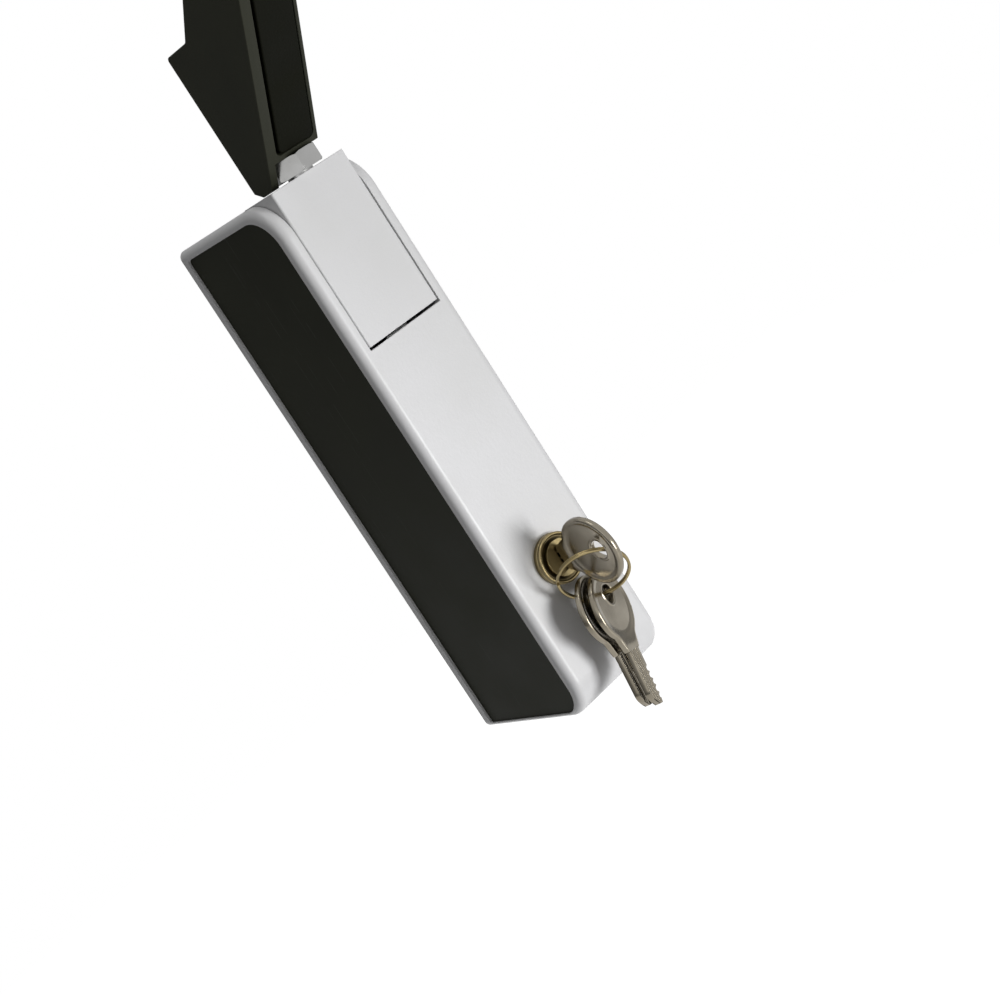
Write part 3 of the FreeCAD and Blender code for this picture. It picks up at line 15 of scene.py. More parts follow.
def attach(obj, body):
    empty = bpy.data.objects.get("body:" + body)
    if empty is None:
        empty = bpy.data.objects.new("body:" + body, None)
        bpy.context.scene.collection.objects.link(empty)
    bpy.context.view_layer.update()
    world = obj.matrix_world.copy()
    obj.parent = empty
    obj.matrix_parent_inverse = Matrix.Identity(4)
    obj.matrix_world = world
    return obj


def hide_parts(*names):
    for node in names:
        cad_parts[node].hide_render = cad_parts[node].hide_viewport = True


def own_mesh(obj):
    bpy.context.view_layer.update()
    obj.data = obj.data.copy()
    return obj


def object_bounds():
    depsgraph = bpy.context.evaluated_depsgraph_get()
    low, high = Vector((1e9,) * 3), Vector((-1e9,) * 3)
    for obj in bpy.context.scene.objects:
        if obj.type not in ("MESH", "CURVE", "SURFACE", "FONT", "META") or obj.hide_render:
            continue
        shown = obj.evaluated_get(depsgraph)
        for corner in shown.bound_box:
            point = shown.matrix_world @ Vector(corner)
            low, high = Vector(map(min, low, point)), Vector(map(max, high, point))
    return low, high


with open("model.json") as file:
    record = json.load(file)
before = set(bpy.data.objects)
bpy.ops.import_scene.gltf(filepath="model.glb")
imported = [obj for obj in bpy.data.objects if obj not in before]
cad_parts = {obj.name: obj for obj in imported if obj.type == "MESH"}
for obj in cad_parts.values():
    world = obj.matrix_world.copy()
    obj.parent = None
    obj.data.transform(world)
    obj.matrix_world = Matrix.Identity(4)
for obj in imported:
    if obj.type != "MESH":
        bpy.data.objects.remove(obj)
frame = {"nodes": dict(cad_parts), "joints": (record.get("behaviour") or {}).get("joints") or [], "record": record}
cad_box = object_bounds()
nodes = frame["nodes"]
print("pieces in the frame:", len(nodes))

# %% [markdown]
# The camera stands where the photographer stood: to the left of the lock and a little
# above it, rolled so that the lock leans across the picture. Its right, up and back
# directions are the columns of a matrix, which is the shortest exact way to say a roll.
# %% Camera
SENSOR_WIDTH = 36.0
LENS = 70.415
PICTURE_SHIFT = (0.03, -0.05)
EYE = Vector((-0.37255, -0.62683, 0.10795))
right = Vector((0.65463, -0.5359, -0.53317)).normalized()
back = Vector((-0.54062, -0.82486, 0.16531)).normalized()
up = back.cross(right)
camera_data = bpy.data.cameras.new("camera")
camera_data.sensor_width = SENSOR_WIDTH
camera_data.lens = LENS
camera_data.shift_x, camera_data.shift_y = PICTURE_SHIFT
camera_data.clip_start = 0.01
camera = bpy.data.objects.new("camera", camera_data)
camera.matrix_world = Matrix.Translation(EYE) @ Matrix((right, up, back)).transposed().to_4x4()
bpy.context.scene.collection.objects.link(camera)
bpy.context.scene.camera = camera
bpy.context.scene.view_settings.view_transform = "Standard"
print("camera to lock:", round(EYE.length, 3), "m")

# %% [markdown]
# A product picture on white needs a white surround that the camera and the polished
# metal can see, but that doesn't flood the lock with light. The Light Path node tells
# the rays apart: rays from dull surfaces get a dim grey, and rays from the camera white.
# Rays from shiny surfaces get white too, but only from above and in front. Below and
# behind, the room fades to dark grey, so that plated metal shows a dark side and a
# bright one.
# %% White surround
SURROUND_LIGHT = 0.12
ROOM_DARK = 0.15
TOWARDS_LIGHT = (0.1, -0.45, 0.88)
DARK_BELOW = -0.55
WHITE_ABOVE = 0.65


def calculate(tree, operation, first, second):
    """Math node on two outputs, or on an output and a number."""
    step = tree.nodes.new("ShaderNodeMath")
    step.operation = operation
    for socket, value in zip(step.inputs, (first, second)):
        if isinstance(value, float):
            socket.default_value = value
        else:
            tree.links.new(value, socket)
    return step.outputs[0]


def seen_directly(tree):
    """1 for rays that come from the eye or from a shiny or clear surface, otherwise 0."""
    path = tree.nodes.new("ShaderNodeLightPath")
    seen = calculate(tree, "MAXIMUM", path.outputs["Is Camera Ray"], path.outputs["Is Glossy Ray"])
    return calculate(tree, "MAXIMUM", seen, path.outputs["Is Transmission Ray"])


def room_brightness(tree):
    """1 for rays from the eye; for others an S-shaped rise from dark to 1 towards the light."""
    way = tree.nodes.new("ShaderNodeTexCoord")
    facing = tree.nodes.new("ShaderNodeVectorMath")
    facing.operation = "DOT_PRODUCT"
    facing.inputs[1].default_value = TOWARDS_LIGHT
    tree.links.new(way.outputs["Generated"], facing.inputs[0])
    room = tree.nodes.new("ShaderNodeMapRange")
    room.interpolation_type = "SMOOTHSTEP"
    room.inputs["From Min"].default_value = DARK_BELOW
    room.inputs["From Max"].default_value = WHITE_ABOVE
    room.inputs["To Min"].default_value = ROOM_DARK
    tree.links.new(facing.outputs["Value"], room.inputs["Value"])
    path = tree.nodes.new("ShaderNodeLightPath")
    return calculate(tree, "MAXIMUM", room.outputs["Result"], path.outputs["Is Camera Ray"])


world = bpy.data.worlds.new("surround")
bpy.context.scene.world = world
world.use_nodes = True
sky = world.node_tree
background = sky.nodes["Background"]
background.inputs["Color"].default_value = (1, 1, 1, 1)
strength = sky.nodes.new("ShaderNodeMapRange")
strength.inputs["To Min"].default_value = SURROUND_LIGHT
sky.links.new(seen_directly(sky), strength.inputs["Value"])
sky.links.new(room_brightness(sky), strength.inputs["To Max"])
sky.links.new(strength.outputs["Result"], background.inputs["Strength"])
print("surround light on dull surfaces:", SURROUND_LIGHT)

# %% [markdown]
# Three soft lamps: a key lamp in front, low and a little to the right, which lights the
# front of the case and throws the shadow of the keys up and to the left, a weak fill on
# the left, so that the side panel stays dark, and a lamp above that brightens the edges.
# %% Lamps
MIDDLE = Vector((0.0, -0.04, 0.02))


def soft_lamp(name, place, width, watts):
    """Square area lamp at one point, aimed at the middle of the lock."""
    data = bpy.data.lights.new(name, "AREA")
    data.size = width
    data.energy = watts
    lamp = bpy.data.objects.new(name, data)
    aim = (MIDDLE - Vector(place)).to_track_quat("-Z", "Y").to_matrix().to_4x4()
    lamp.matrix_world = Matrix.Translation(place) @ aim
    bpy.context.scene.collection.objects.link(lamp)


soft_lamp("key lamp", (0.32, -1.37, -0.32), 0.5, 14.5)
soft_lamp("fill lamp", (-0.95, -0.55, 0.25), 0.6, 0.6)
soft_lamp("top lamp", (-0.1, -0.25, 1.0), 0.4, 2.0)

# %% [markdown]
# The lock hangs on a door, so nothing is near it. A pale floor far below it catches the
# soft shadow, and it is white to the eye in the same way as the surround.
# %% Floor
FLOOR_DROP = 0.75
FLOOR_HEIGHT = cad_box[0][2] - FLOOR_DROP
FLOOR_REACH = 3.0
FLOOR_GREY = 0.9
FLOOR_GLOW = 0.97


def floor_paint():
    """Dull pale paint that glows for rays from the eye and from shiny surfaces."""
    paint = bpy.data.materials.new("floor white")
    paint.use_nodes = True
    tree = paint.node_tree
    dull = tree.nodes["Principled BSDF"]
    dull.inputs["Base Color"].default_value = (FLOOR_GREY, FLOOR_GREY, FLOOR_GREY, 1)
    dull.inputs["Roughness"].default_value = 0.9
    dull.inputs["Specular IOR Level"].default_value = 0.0
    dull.inputs["Emission Color"].default_value = (1, 1, 1, 1)
    glow = calculate(tree, "MULTIPLY", seen_directly(tree), FLOOR_GLOW)
    tree.links.new(glow, dull.inputs["Emission Strength"])
    return paint


def pale_floor():
    """Square sheet of four corners under the lock."""
    turns = ((-1, -1), (1, -1), (1, 1), (-1, 1))
    corners = [(x * FLOOR_REACH, y * FLOOR_REACH, FLOOR_HEIGHT) for x, y in turns]
    mesh = bpy.data.meshes.new("floor")
    mesh.from_pydata(corners, [], [(0, 1, 2, 3)])
    mesh.materials.append(floor_paint())
    floor = bpy.data.objects.new("floor", mesh)
    bpy.context.scene.collection.objects.link(floor)


pale_floor()
print("floor at", round(FLOOR_HEIGHT, 3))

# %% [markdown]
# Every finish starts from the same few steps: a new material, a noise that reads the
# object's own coordinates in metres, and a bump from that noise. These helpers keep the
# finishes below short. A noise scale of 1000 makes spots about a millimetre across.
# %% Helpers for finishes
def new_finish(name):
    """New node material; returns it with its tree and its main shader."""
    finish = bpy.data.materials.new(name)
    finish.use_nodes = True
    return finish, finish.node_tree, finish.node_tree.nodes["Principled BSDF"]


def place_vector(tree, stretch=(1, 1, 1), turn=(0, 0, 0)):
    """Object coordinates, stretched and turned by a Mapping node."""
    place = tree.nodes.new("ShaderNodeTexCoord")
    mapping = tree.nodes.new("ShaderNodeMapping")
    mapping.inputs["Scale"].default_value = stretch
    mapping.inputs["Rotation"].default_value = turn
    tree.links.new(place.outputs["Object"], mapping.inputs["Vector"])
    return mapping.outputs["Vector"]


def noise(tree, vector, scale, detail):
    """Cloudy noise between 0 and 1."""
    cloud = tree.nodes.new("ShaderNodeTexNoise")
    cloud.inputs["Scale"].default_value = scale
    cloud.inputs["Detail"].default_value = detail
    tree.links.new(vector, cloud.inputs["Vector"])
    return cloud.outputs["Fac"]


def remap(tree, value, low, high, to_low, to_high):
    """Straight-line change of one range into another, held at its ends."""
    change = tree.nodes.new("ShaderNodeMapRange")
    change.inputs["From Min"].default_value = low
    change.inputs["From Max"].default_value = high
    change.inputs["To Min"].default_value = to_low
    change.inputs["To Max"].default_value = to_high
    tree.links.new(value, change.inputs["Value"])
    return change.outputs["Result"]


def blend_colours(tree, factor, first, second):
    """Mix of two colours by a factor; each may be a colour or an output."""
    mix = tree.nodes.new("ShaderNodeMix")
    mix.data_type = "RGBA"
    tree.links.new(factor, mix.inputs["Factor"])
    for socket, colour in ((mix.inputs[6], first), (mix.inputs[7], second)):
        if isinstance(colour, tuple):
            socket.default_value = (*colour, 1)
        else:
            tree.links.new(colour, socket)
    return mix.outputs[2]


def mottled(tree, cloud, low, high, first, second):
    """Colour that goes from the first to the second as a noise goes from low to high."""
    return blend_colours(tree, remap(tree, cloud, low, high, 0, 1), first, second)


def bump(tree, height, depth, strength, under=None):
    """Bump of so many metres from a height between 0 and 1."""
    relief = tree.nodes.new("ShaderNodeBump")
    relief.inputs["Distance"].default_value = depth
    relief.inputs["Strength"].default_value = strength
    tree.links.new(height, relief.inputs["Height"])
    if under is not None:
        tree.links.new(under, relief.inputs["Normal"])
    return relief.outputs["Normal"]


def soft_edge(tree, radius):
    """Normal that rounds sharp edges by so many metres."""
    round_off = tree.nodes.new("ShaderNodeBevel")
    round_off.samples = 4
    round_off.inputs["Radius"].default_value = radius
    return round_off.outputs["Normal"]


def scratches(tree, scale, thin, turn):
    """Fine straight scratches: a noise stretched a hundred times, broken up by a coarser one."""
    streaks = noise(tree, place_vector(tree, (1, 1, 0.01), turn), scale, 2.0)
    broken = noise(tree, place_vector(tree), scale * 0.12, 2.0)
    lines = remap(tree, streaks, thin, thin + 0.03, 0, 1)
    return calculate(tree, "MULTIPLY", lines, remap(tree, broken, 0.5, 0.6, 0, 1))


print("helpers ready")

# %% [markdown]
# The case is a casting with a light grey powder coat. Powder melts into a skin with a
# faint orange peel, about a millimetre across, and its gloss varies a little. Handling
# leaves a faint grime in broad soft patches.
# %% Grey powder coat
def powder_coat():
    """Two near greys in patches, sparse darker grains, and a bump of orange peel."""
    finish, tree, shader = new_finish("grey powder coat")
    place = place_vector(tree)
    patches = noise(tree, place, 22.0, 3.0)
    speckle = noise(tree, place, 2600.0, 2.0)
    tint = mottled(tree, patches, 0.35, 0.7, (0.70, 0.70, 0.71), (0.655, 0.655, 0.655))
    grain = blend_colours(tree, remap(tree, speckle, 0.55, 0.75, 0, 0.35), tint, (0.6, 0.6, 0.6))
    tree.links.new(grain, shader.inputs["Base Color"])
    tree.links.new(remap(tree, patches, 0.3, 0.7, 0.34, 0.46), shader.inputs["Roughness"])
    peel = noise(tree, place, 900.0, 2.0)
    tree.links.new(bump(tree, peel, 0.00012, 0.35, soft_edge(tree, 0.0004)), shader.inputs["Normal"])
    return finish


finishes = {"grey_paint": powder_coat()}
print("first finish:", finishes["grey_paint"].name)

# %% [markdown]
# The side panels are thin sheet with black enamel. Enamel on sheet is smooth but never
# quite flat, so a slow bump bends its reflections, and a few fine scratches catch light.
# %% Black enamel
def black_enamel():
    """Near black in two tints with pale scratches, over a slow wave and a fine grain."""
    finish, tree, shader = new_finish("black enamel")
    place = place_vector(tree)
    marks = scratches(tree, 900.0, 0.66, (0.5, 0, 0))
    cloud = noise(tree, place, 35.0, 4.0)
    base = mottled(tree, cloud, 0.35, 0.7, (0.0125, 0.0134, 0.0074), (0.0165, 0.0175, 0.0105))
    tree.links.new(blend_colours(tree, marks, base, (0.026, 0.027, 0.021)), shader.inputs["Base Color"])
    shader.inputs["Specular IOR Level"].default_value = 0.12
    tree.links.new(remap(tree, cloud, 0.3, 0.7, 0.46, 0.58), shader.inputs["Roughness"])
    wave = bump(tree, noise(tree, place, 60.0, 2.0), 0.0004, 0.25, soft_edge(tree, 0.0003))
    tree.links.new(bump(tree, noise(tree, place, 1800.0, 2.0), 0.00005, 0.3, wave), shader.inputs["Normal"])
    return finish


finishes["black_panel"] = black_enamel()
print("panel finish:", finishes["black_panel"].name)

# %% [markdown]
# The lever is a casting in satin black. Hands polish it in patches, so its gloss changes
# along it, and the cast skin shows as a fine grain under the coat.
# %% Satin black lever
def satin_black():
    """Near black whose tint and gloss change in patches, with a cast grain."""
    finish, tree, shader = new_finish("satin black")
    place = place_vector(tree)
    rub = noise(tree, place, 40.0, 4.0)
    base = mottled(tree, rub, 0.35, 0.7, (0.016, 0.017, 0.0105), (0.022, 0.023, 0.0145))
    tree.links.new(base, shader.inputs["Base Color"])
    shader.inputs["Specular IOR Level"].default_value = 0.15
    tree.links.new(remap(tree, rub, 0.3, 0.7, 0.5, 0.64), shader.inputs["Roughness"])
    grain = noise(tree, place, 1500.0, 3.0)
    tree.links.new(bump(tree, grain, 0.00008, 0.4, soft_edge(tree, 0.0005)), shader.inputs["Normal"])
    return finish


finishes["black_lever"] = satin_black()
print("lever finish:", finishes["black_lever"].name)

# %% [markdown]
# The strip let into the front of the lever is matt moulded rubber. The cells of a Voronoi
# texture are rounded and packed like the grain of leather, which such strips often copy.
# %% Grip rubber
def grip_rubber():
    """Matt moulded strip with a fine leather-like grain."""
    finish, tree, shader = new_finish("grip rubber")
    place = place_vector(tree)
    cells = tree.nodes.new("ShaderNodeTexVoronoi")
    cells.inputs["Scale"].default_value = 900.0
    tree.links.new(place, cells.inputs["Vector"])
    wear = noise(tree, place, 50.0, 3.0)
    base = mottled(tree, wear, 0.4, 0.7, (0.003, 0.0033, 0.0014), (0.005, 0.0053, 0.0026))
    tree.links.new(base, shader.inputs["Base Color"])
    shader.inputs["Specular IOR Level"].default_value = 0.06
    tree.links.new(remap(tree, wear, 0.3, 0.7, 0.6, 0.75), shader.inputs["Roughness"])
    tree.links.new(bump(tree, cells.outputs["Distance"], 0.0001, 0.5), shader.inputs["Normal"])
    return finish


finishes["grip_rubber"] = grip_rubber()
print("grip finish:", finishes["grip_rubber"].name)

# %% [markdown]
# Bare and plated metals differ in colour, in how rough they are and in which way their
# fine lines run. One function with those choices makes them all. The lines are a noise
# stretched along the way the tool went, and on the keys they are worn shallow.
# %% Metals
def worked_metal(name, light, dark, rough, lines, line_depth=0.00003, edge=0.0002):
    """Metal stained between two tints, with lines that are a stretched noise."""
    finish, tree, shader = new_finish(name)
    stain = noise(tree, place_vector(tree), 70.0, 5.0)
    tree.links.new(mottled(tree, stain, 0.3, 0.75, light, dark), shader.inputs["Base Color"])
    shader.inputs["Metallic"].default_value = 1.0
    tree.links.new(remap(tree, stain, 0.3, 0.7, rough * 0.75, rough * 1.3), shader.inputs["Roughness"])
    drawn = noise(tree, place_vector(tree, lines), 1600.0, 2.0)
    tree.links.new(bump(tree, drawn, line_depth, 0.4, soft_edge(tree, edge)), shader.inputs["Normal"])
    return finish


finishes["zinc_steel"] = worked_metal(
    "zinc plated steel", light=(0.43, 0.435, 0.44), dark=(0.41, 0.415, 0.42), rough=0.42, lines=(1, 1, 0.2))
finishes["bright_steel"] = worked_metal(
    "oiled bright steel", light=(0.5, 0.5, 0.5), dark=(0.38, 0.38, 0.38), rough=0.28, lines=(0.1, 1, 1))
finishes["chrome_plate"] = worked_metal(
    "bright plating", light=(0.42, 0.42, 0.415), dark=(0.32, 0.32, 0.31), rough=0.24, lines=(1, 1, 1))
# The keys' nickel is worn, and its tints are also darkened towards brown as a painted dark reflection of the room.
finishes["nickel_key"] = worked_metal(
    "worn nickel darkened as painted reflection", light=(0.28, 0.253, 0.205), dark=(0.17, 0.15, 0.112), rough=0.18, lines=(1, 1, 0.08),
    line_depth=0.00001, edge=0.00003)
finishes["yellow_brass"] = worked_metal(
    "rubbed brass", light=(0.33, 0.265, 0.14), dark=(0.16, 0.125, 0.058), rough=0.22, lines=(1, 0.3, 1))
# The aged brass is the rubbed brass made much darker; the darkness is a painted dark reflection of the room, not
# age.
finishes["aged_brass"] = worked_metal(
    "brass darkened as painted reflection", light=(0.12, 0.095, 0.05), dark=(0.065, 0.052, 0.028), rough=0.35, lines=(1, 0.3, 1))
finishes["spring_steel"] = worked_metal(
    "spring wire", light=(0.34, 0.35, 0.37), dark=(0.25, 0.26, 0.28), rough=0.3, lines=(1, 1, 1))
print("finishes:", len(finishes))

# %% [markdown]
# Each loaded piece names the finish it takes, so one loop dresses the whole frame.
# %% Dress the frame
for part in frame["record"]["subparts"]:
    slots = nodes[part["node"]].data.materials
    slots.clear()
    slots.append(finishes[part["material_slot"]])

# %% [markdown]
# The small pieces are surfaces on a grid: a row is one closed line and the rows follow
# each other over the piece. The quads come from rolled index arrays, so there is no loop
# over points. Every piece is written in millimetres and put into the mesh in metres.
# %% Helpers for pieces
MM = 0.001
SAME_PLACE = 1e-6
SHARP_EDGE = math.radians(35)


def patch(grid, wrap_rows=False):
    """Points of a grid of closed rows, and the quads between each point and its neighbours."""
    rows, columns = grid.shape[:2]
    index = np.arange(rows * columns).reshape(rows, columns)
    below = np.roll(index, -1, 0)
    quads = np.stack([index, np.roll(index, -1, 1), np.roll(below, -1, 1), below], -1)
    quads = quads if wrap_rows else quads[:-1]
    return grid.reshape(-1, 3), quads.reshape(-1, 4)


def closed_ends(grid):
    """The grid with one more row at each end, drawn together to the middle of that end."""
    first = np.broadcast_to(grid[:1].mean(1, keepdims=True), grid[:1].shape)
    last = np.broadcast_to(grid[-1:].mean(1, keepdims=True), grid[-1:].shape)
    return np.concatenate([first, grid, last])


def put_in_place(name, mesh, body, loaded):
    """Object of a mesh, crisp only at sharp edges, riding on its body for a loaded piece."""
    mesh.shade_smooth()
    mesh.set_sharp_from_angle(angle=SHARP_EDGE)
    piece = bpy.data.objects.new(name, mesh)
    bpy.context.scene.collection.objects.link(piece)
    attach(piece, body)
    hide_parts(loaded)
    print(name, "has", len(mesh.polygons), "faces")
    return piece


def make_piece(name, patches, body, slot, finish=None):
    """One mesh from several patches, merged and facing outwards, for the loaded piece of its name."""
    points = np.concatenate([p for p, q in patches])
    starts = np.cumsum([0] + [len(p) for p, q in patches[:-1]])
    quads = np.concatenate([q + start for (p, q), start in zip(patches, starts)])
    mesh = bpy.data.meshes.new(name)
    mesh.from_pydata(points * MM, [], quads.tolist())
    shape = bmesh.new()
    shape.from_mesh(mesh)
    bmesh.ops.remove_doubles(shape, verts=shape.verts, dist=SAME_PLACE)
    bmesh.ops.recalc_face_normals(shape, faces=shape.faces)
    shape.to_mesh(mesh)
    shape.free()
    mesh.materials.append(finishes[finish or slot])
    return put_in_place(name, mesh, body, name)


def turn_matrix(axis, degrees):
    """Rotation about one of the main axes, as a numpy matrix."""
    return np.array(Matrix.Rotation(math.radians(degrees), 3, axis))


def soft_step(value, low, high):
    """0 below low, 1 above high, with an S-shaped ramp between."""
    t = np.clip((value - low) / (high - low), 0, 1)
    return t * t * (3 - 2 * t)


print("sharp edges from", round(math.degrees(SHARP_EDGE)), "degrees")

# %% [markdown]
# A key is a blank of nickel silver: a round bow with a rolled rim and a sunk face, a neck,
# and a blade with grooves milled along its faces. The bow is a ring-shaped surface. Its
# outer line is the circle with the two neck lines, its inner line the hole, and the rows
# go over the rim, down to a sunk round face, across it and into the hole, and back below.
# %% Bow of a key
BOW_RADIUS = 13.2
BOW_RIM = 0.75
BOW_BORDER = 1.7
BOW_SINK = 0.22
SINK_SLOPE = 0.4
KEY_HALF = 1.2
SHOULDER_X = 17.2
SHOULDER_Y = 4.7
NECK_Y = 7.0
HOLE_OFFSET = 4.6
HOLE_RADIUS = 3.5
HOLE_LOBES = 0.2
HOLE_RIM = 0.4
HOLE_BORDER = 0.9
HOLE_FOOT = 1.2
FOOT_STEP = 0.05
CIRCLE_POINTS = 200
OUTLINE_POINTS = 240
OUTLINE_EASINGS = 4


def even_line(corners, count):
    """Closed line through the corners, stepped evenly by its length and eased at the corners."""
    closed = np.vstack([corners, corners[:1]])
    length = np.concatenate([[0], np.cumsum(np.hypot(*np.diff(closed, axis=0).T))])
    steps = np.linspace(0, length[-1], count, endpoint=False)
    line = np.stack([np.interp(steps, length, closed[:, k]) for k in (0, 1)], -1)
    for _ in range(OUTLINE_EASINGS):
        line = (np.roll(line, 1, 0) + 2 * line + np.roll(line, -1, 0)) / 4
    return line


def bow_outline():
    """Circle of the bow from one side of the neck round to the other, then the neck's corners."""
    start = math.atan2(NECK_Y, math.sqrt(BOW_RADIUS ** 2 - NECK_Y ** 2))
    angle = np.linspace(start, 2 * math.pi - start, CIRCLE_POINTS)
    arc = BOW_RADIUS * np.stack([np.cos(angle), np.sin(angle)], -1)
    shoulder = [[SHOULDER_X, -SHOULDER_Y], [SHOULDER_X, SHOULDER_Y]]
    return even_line(np.vstack([arc, shoulder]), OUTLINE_POINTS)


def quarter_round(line, inwards, size):
    """Rows of a quarter circle from the side of the key up to its face, as (line, height)."""
    quarter = np.radians(np.linspace(0, 90, 6))
    foot = KEY_HALF - size
    return [(line + inwards * size * (1 - math.cos(a)), foot + size * math.sin(a)) for a in quarter]


def bow_surface():
    """Ring-shaped surface: the outline drawn in over its rim, then a circle, then lines on to the hole."""
    line = bow_outline()
    along = np.roll(line, -1, 0) - np.roll(line, 1, 0)
    inwards = np.stack([-along[:, 1], along[:, 0]], -1) / np.hypot(*along.T)[:, None]
    centre = np.array([-HOLE_OFFSET, 0.0])
    spoke = line - centre
    angle = np.arctan2(spoke[:, 1], spoke[:, 0])
    outwards = np.stack([np.cos(angle), np.sin(angle)], -1)
    hole = centre + outwards * (HOLE_RADIUS + HOLE_LOBES * np.cos(3 * angle))[:, None]
    circle = line / np.hypot(*line.T)[:, None] * (BOW_RADIUS - BOW_BORDER)
    sunk = KEY_HALF - BOW_SINK
    near = circle * (1 - SINK_SLOPE / (BOW_RADIUS - BOW_BORDER))
    far = hole + outwards * (HOLE_FOOT + FOOT_STEP)
    rows = quarter_round(line, inwards, BOW_RIM) + [(circle, KEY_HALF)]
    rows += [(near + (far - near) * t, sunk) for t in np.linspace(0, 1, 6)]
    rows += [(hole + outwards * HOLE_FOOT, sunk), (hole + outwards * HOLE_BORDER, KEY_HALF)]
    rows += quarter_round(hole, outwards, HOLE_RIM)[::-1]
    top = np.stack([np.column_stack([row, np.full(len(row), z)]) for row, z in rows])
    return np.concatenate([top, top[::-1] * [1, 1, -1]])


print("bow rows and points:", bow_surface().shape)

# %% [markdown]
# The blade is a section carried along the key, with two grooves milled in each face. What
# lies above a level line is pressed down to the line of the cuts, which leaves flat cut
# faces as a key machine does, and one groove's upper side goes down with it. The straight
# back rises at the tip.
# %% Blade of a key
BLADE_START = 14.6
BLADE_END = 37.85
BLADE_HALF = 3.5
BLADE_THINNER = 0.02
BLADE_ROUND = 0.3
FIRST_CUT = 25.0
CUT_PITCH = 2.6
CUT_DEPTHS = (1.4, 1.6, 1.0, 1.5, 1.2)
CUT_FLAT_HALF = 0.5
CUT_SLOPE = 2.0
PRESSED_ABOVE = 1.6
TIP_LENGTH = 6.0
TIP_RISE = 4.0
TIP_FALL = TIP_RISE / 4
DEEP_GROOVE = (-2.3, -0.9, 0.5)
SHALLOW_GROOVE = (0.2, 1.3, 0.4)
GROOVE_SLOPE = 0.2
FACE_POINTS = 45
BLADE_ROWS = 160


def groove(y, low, high, depth):
    """Depth of a milled groove between two heights, with sloping sides."""
    begun = soft_step(y, low - GROOVE_SLOPE, low + GROOVE_SLOPE)
    ended = soft_step(y, high - GROOVE_SLOPE, high + GROOVE_SLOPE)
    return depth * begun * (1 - ended)


def cut_line(x):
    """Depth below the top of the blade: the deepest of the flat-bottomed cuts at each place."""
    cut = np.zeros_like(x)
    for index, depth in enumerate(CUT_DEPTHS):
        away = np.abs(x - FIRST_CUT - CUT_PITCH * index)
        cut = np.maximum(cut, depth - CUT_SLOPE * np.maximum(away - CUT_FLAT_HALF, 0))
    return cut


def blade_surface():
    """Section carried along x; its upper part is pressed down to the line of the cuts."""
    x = np.linspace(BLADE_START, BLADE_END, BLADE_ROWS)
    near_tip = np.clip((x - BLADE_END + TIP_LENGTH) / TIP_LENGTH, 0, 1) ** 2
    up_face = np.linspace(-BLADE_HALF, BLADE_HALF, FACE_POINTS)
    y = np.concatenate([up_face, -up_face])
    side = np.repeat([1, -1], FACE_POINTS)
    past_round = np.clip((np.abs(y) - BLADE_HALF + BLADE_ROUND) / BLADE_ROUND, 0, 1)
    corner = BLADE_ROUND * (1 - np.sqrt(1 - past_round ** 2))
    wide = groove(y * side, *DEEP_GROOVE) + groove(y * side, *SHALLOW_GROOVE)
    begun = soft_step(x, BLADE_START, SHOULDER_X - GROOVE_SLOPE)[:, None]
    z = side * (KEY_HALF - BLADE_THINNER - corner - wide * begun)
    high = (BLADE_HALF - np.maximum(cut_line(x), TIP_FALL * near_tip))[:, None]
    low = (TIP_RISE * near_tip - BLADE_HALF)[:, None]
    above = np.clip((y - PRESSED_ABOVE) / (BLADE_HALF - PRESSED_ABOVE), 0, 1)
    held = np.maximum(y - above * (BLADE_HALF - high), low)
    return closed_ends(np.stack([np.broadcast_to(x[:, None], held.shape), held, z], -1))


print("blade sections:", len(blade_surface()))

# %% [markdown]
# One key stands in the cylinder and two hang from the ring. Where a spare key hangs is the
# pivot of its joint in the frame; from there its blade points down, then it leans and
# turns as it does in the photograph.
# %% Keys
SPARE_YAW = 28.0
FRONT_LEAN = 16.0
BACK_LEAN = 12.0
CYLINDER_X = 0.0
CYLINDER_Z = -54.0
BOW_CENTRE = np.array([CYLINDER_X, -89.0, CYLINDER_Z])
IN_LOCK = np.array([[0, 1, 0], [0, 0, 1], [1, 0, 0]]).T
HANGING = np.array([[0, 0, -1], [1, 0, 0], [0, -1, 0]]).T
pivots = {joint["name"]: np.array(joint["pos_m"]) / MM for joint in frame["joints"] if "pos_m" in joint}


def placed(points, turn, origin):
    """Points turned by a matrix and moved to an origin."""
    return points @ turn.T + origin


def key_piece(name, body, turn, origin):
    """Bow and blade as one mesh."""
    bow = patch(placed(bow_surface(), turn, origin), wrap_rows=True)
    blade = patch(placed(blade_surface(), turn, origin))
    make_piece(name, [bow, blade], body, "nickel_key")


def spare_key(name, body, lean):
    """Key that hangs from the pivot of its own swing, leaning by so many degrees."""
    turn = turn_matrix("Z", SPARE_YAW) @ turn_matrix("Y", lean) @ HANGING
    key_piece(name, body, turn, pivots[body + "_swing"] + turn @ [HOLE_OFFSET, 0, 0])


key_piece("inserted_key", "working_key", IN_LOCK, BOW_CENTRE)
spare_key("spare_key_front", "front_key", FRONT_LEAN)
spare_key("spare_key_back", "back_key", BACK_LEAN)

# %% [markdown]
# The key ring is a split ring: flat brass wire wound twice round. The second turn lies
# against the first, and where one runs out the wire steps over to the other side. A
# cosine raised to a power below 1 makes the wire's section nearly square.
# %% Split ring
RING_RADIUS = 12.76
RING_WIDTH = 1.1
WIRE_HALF = 0.32
WIRE_SQUARENESS = 0.4
TURN_APART = 0.68
RING_STEP = math.radians(16)
RING_YAW = math.radians(48.3)
RING_TILT = math.radians(36.1)
RING_SEAT = math.radians(-139.7)
RING_SAG = 0.43
WIRE_START = 2.2
WIRE_ROWS = 260
WIRE_POINTS = 20


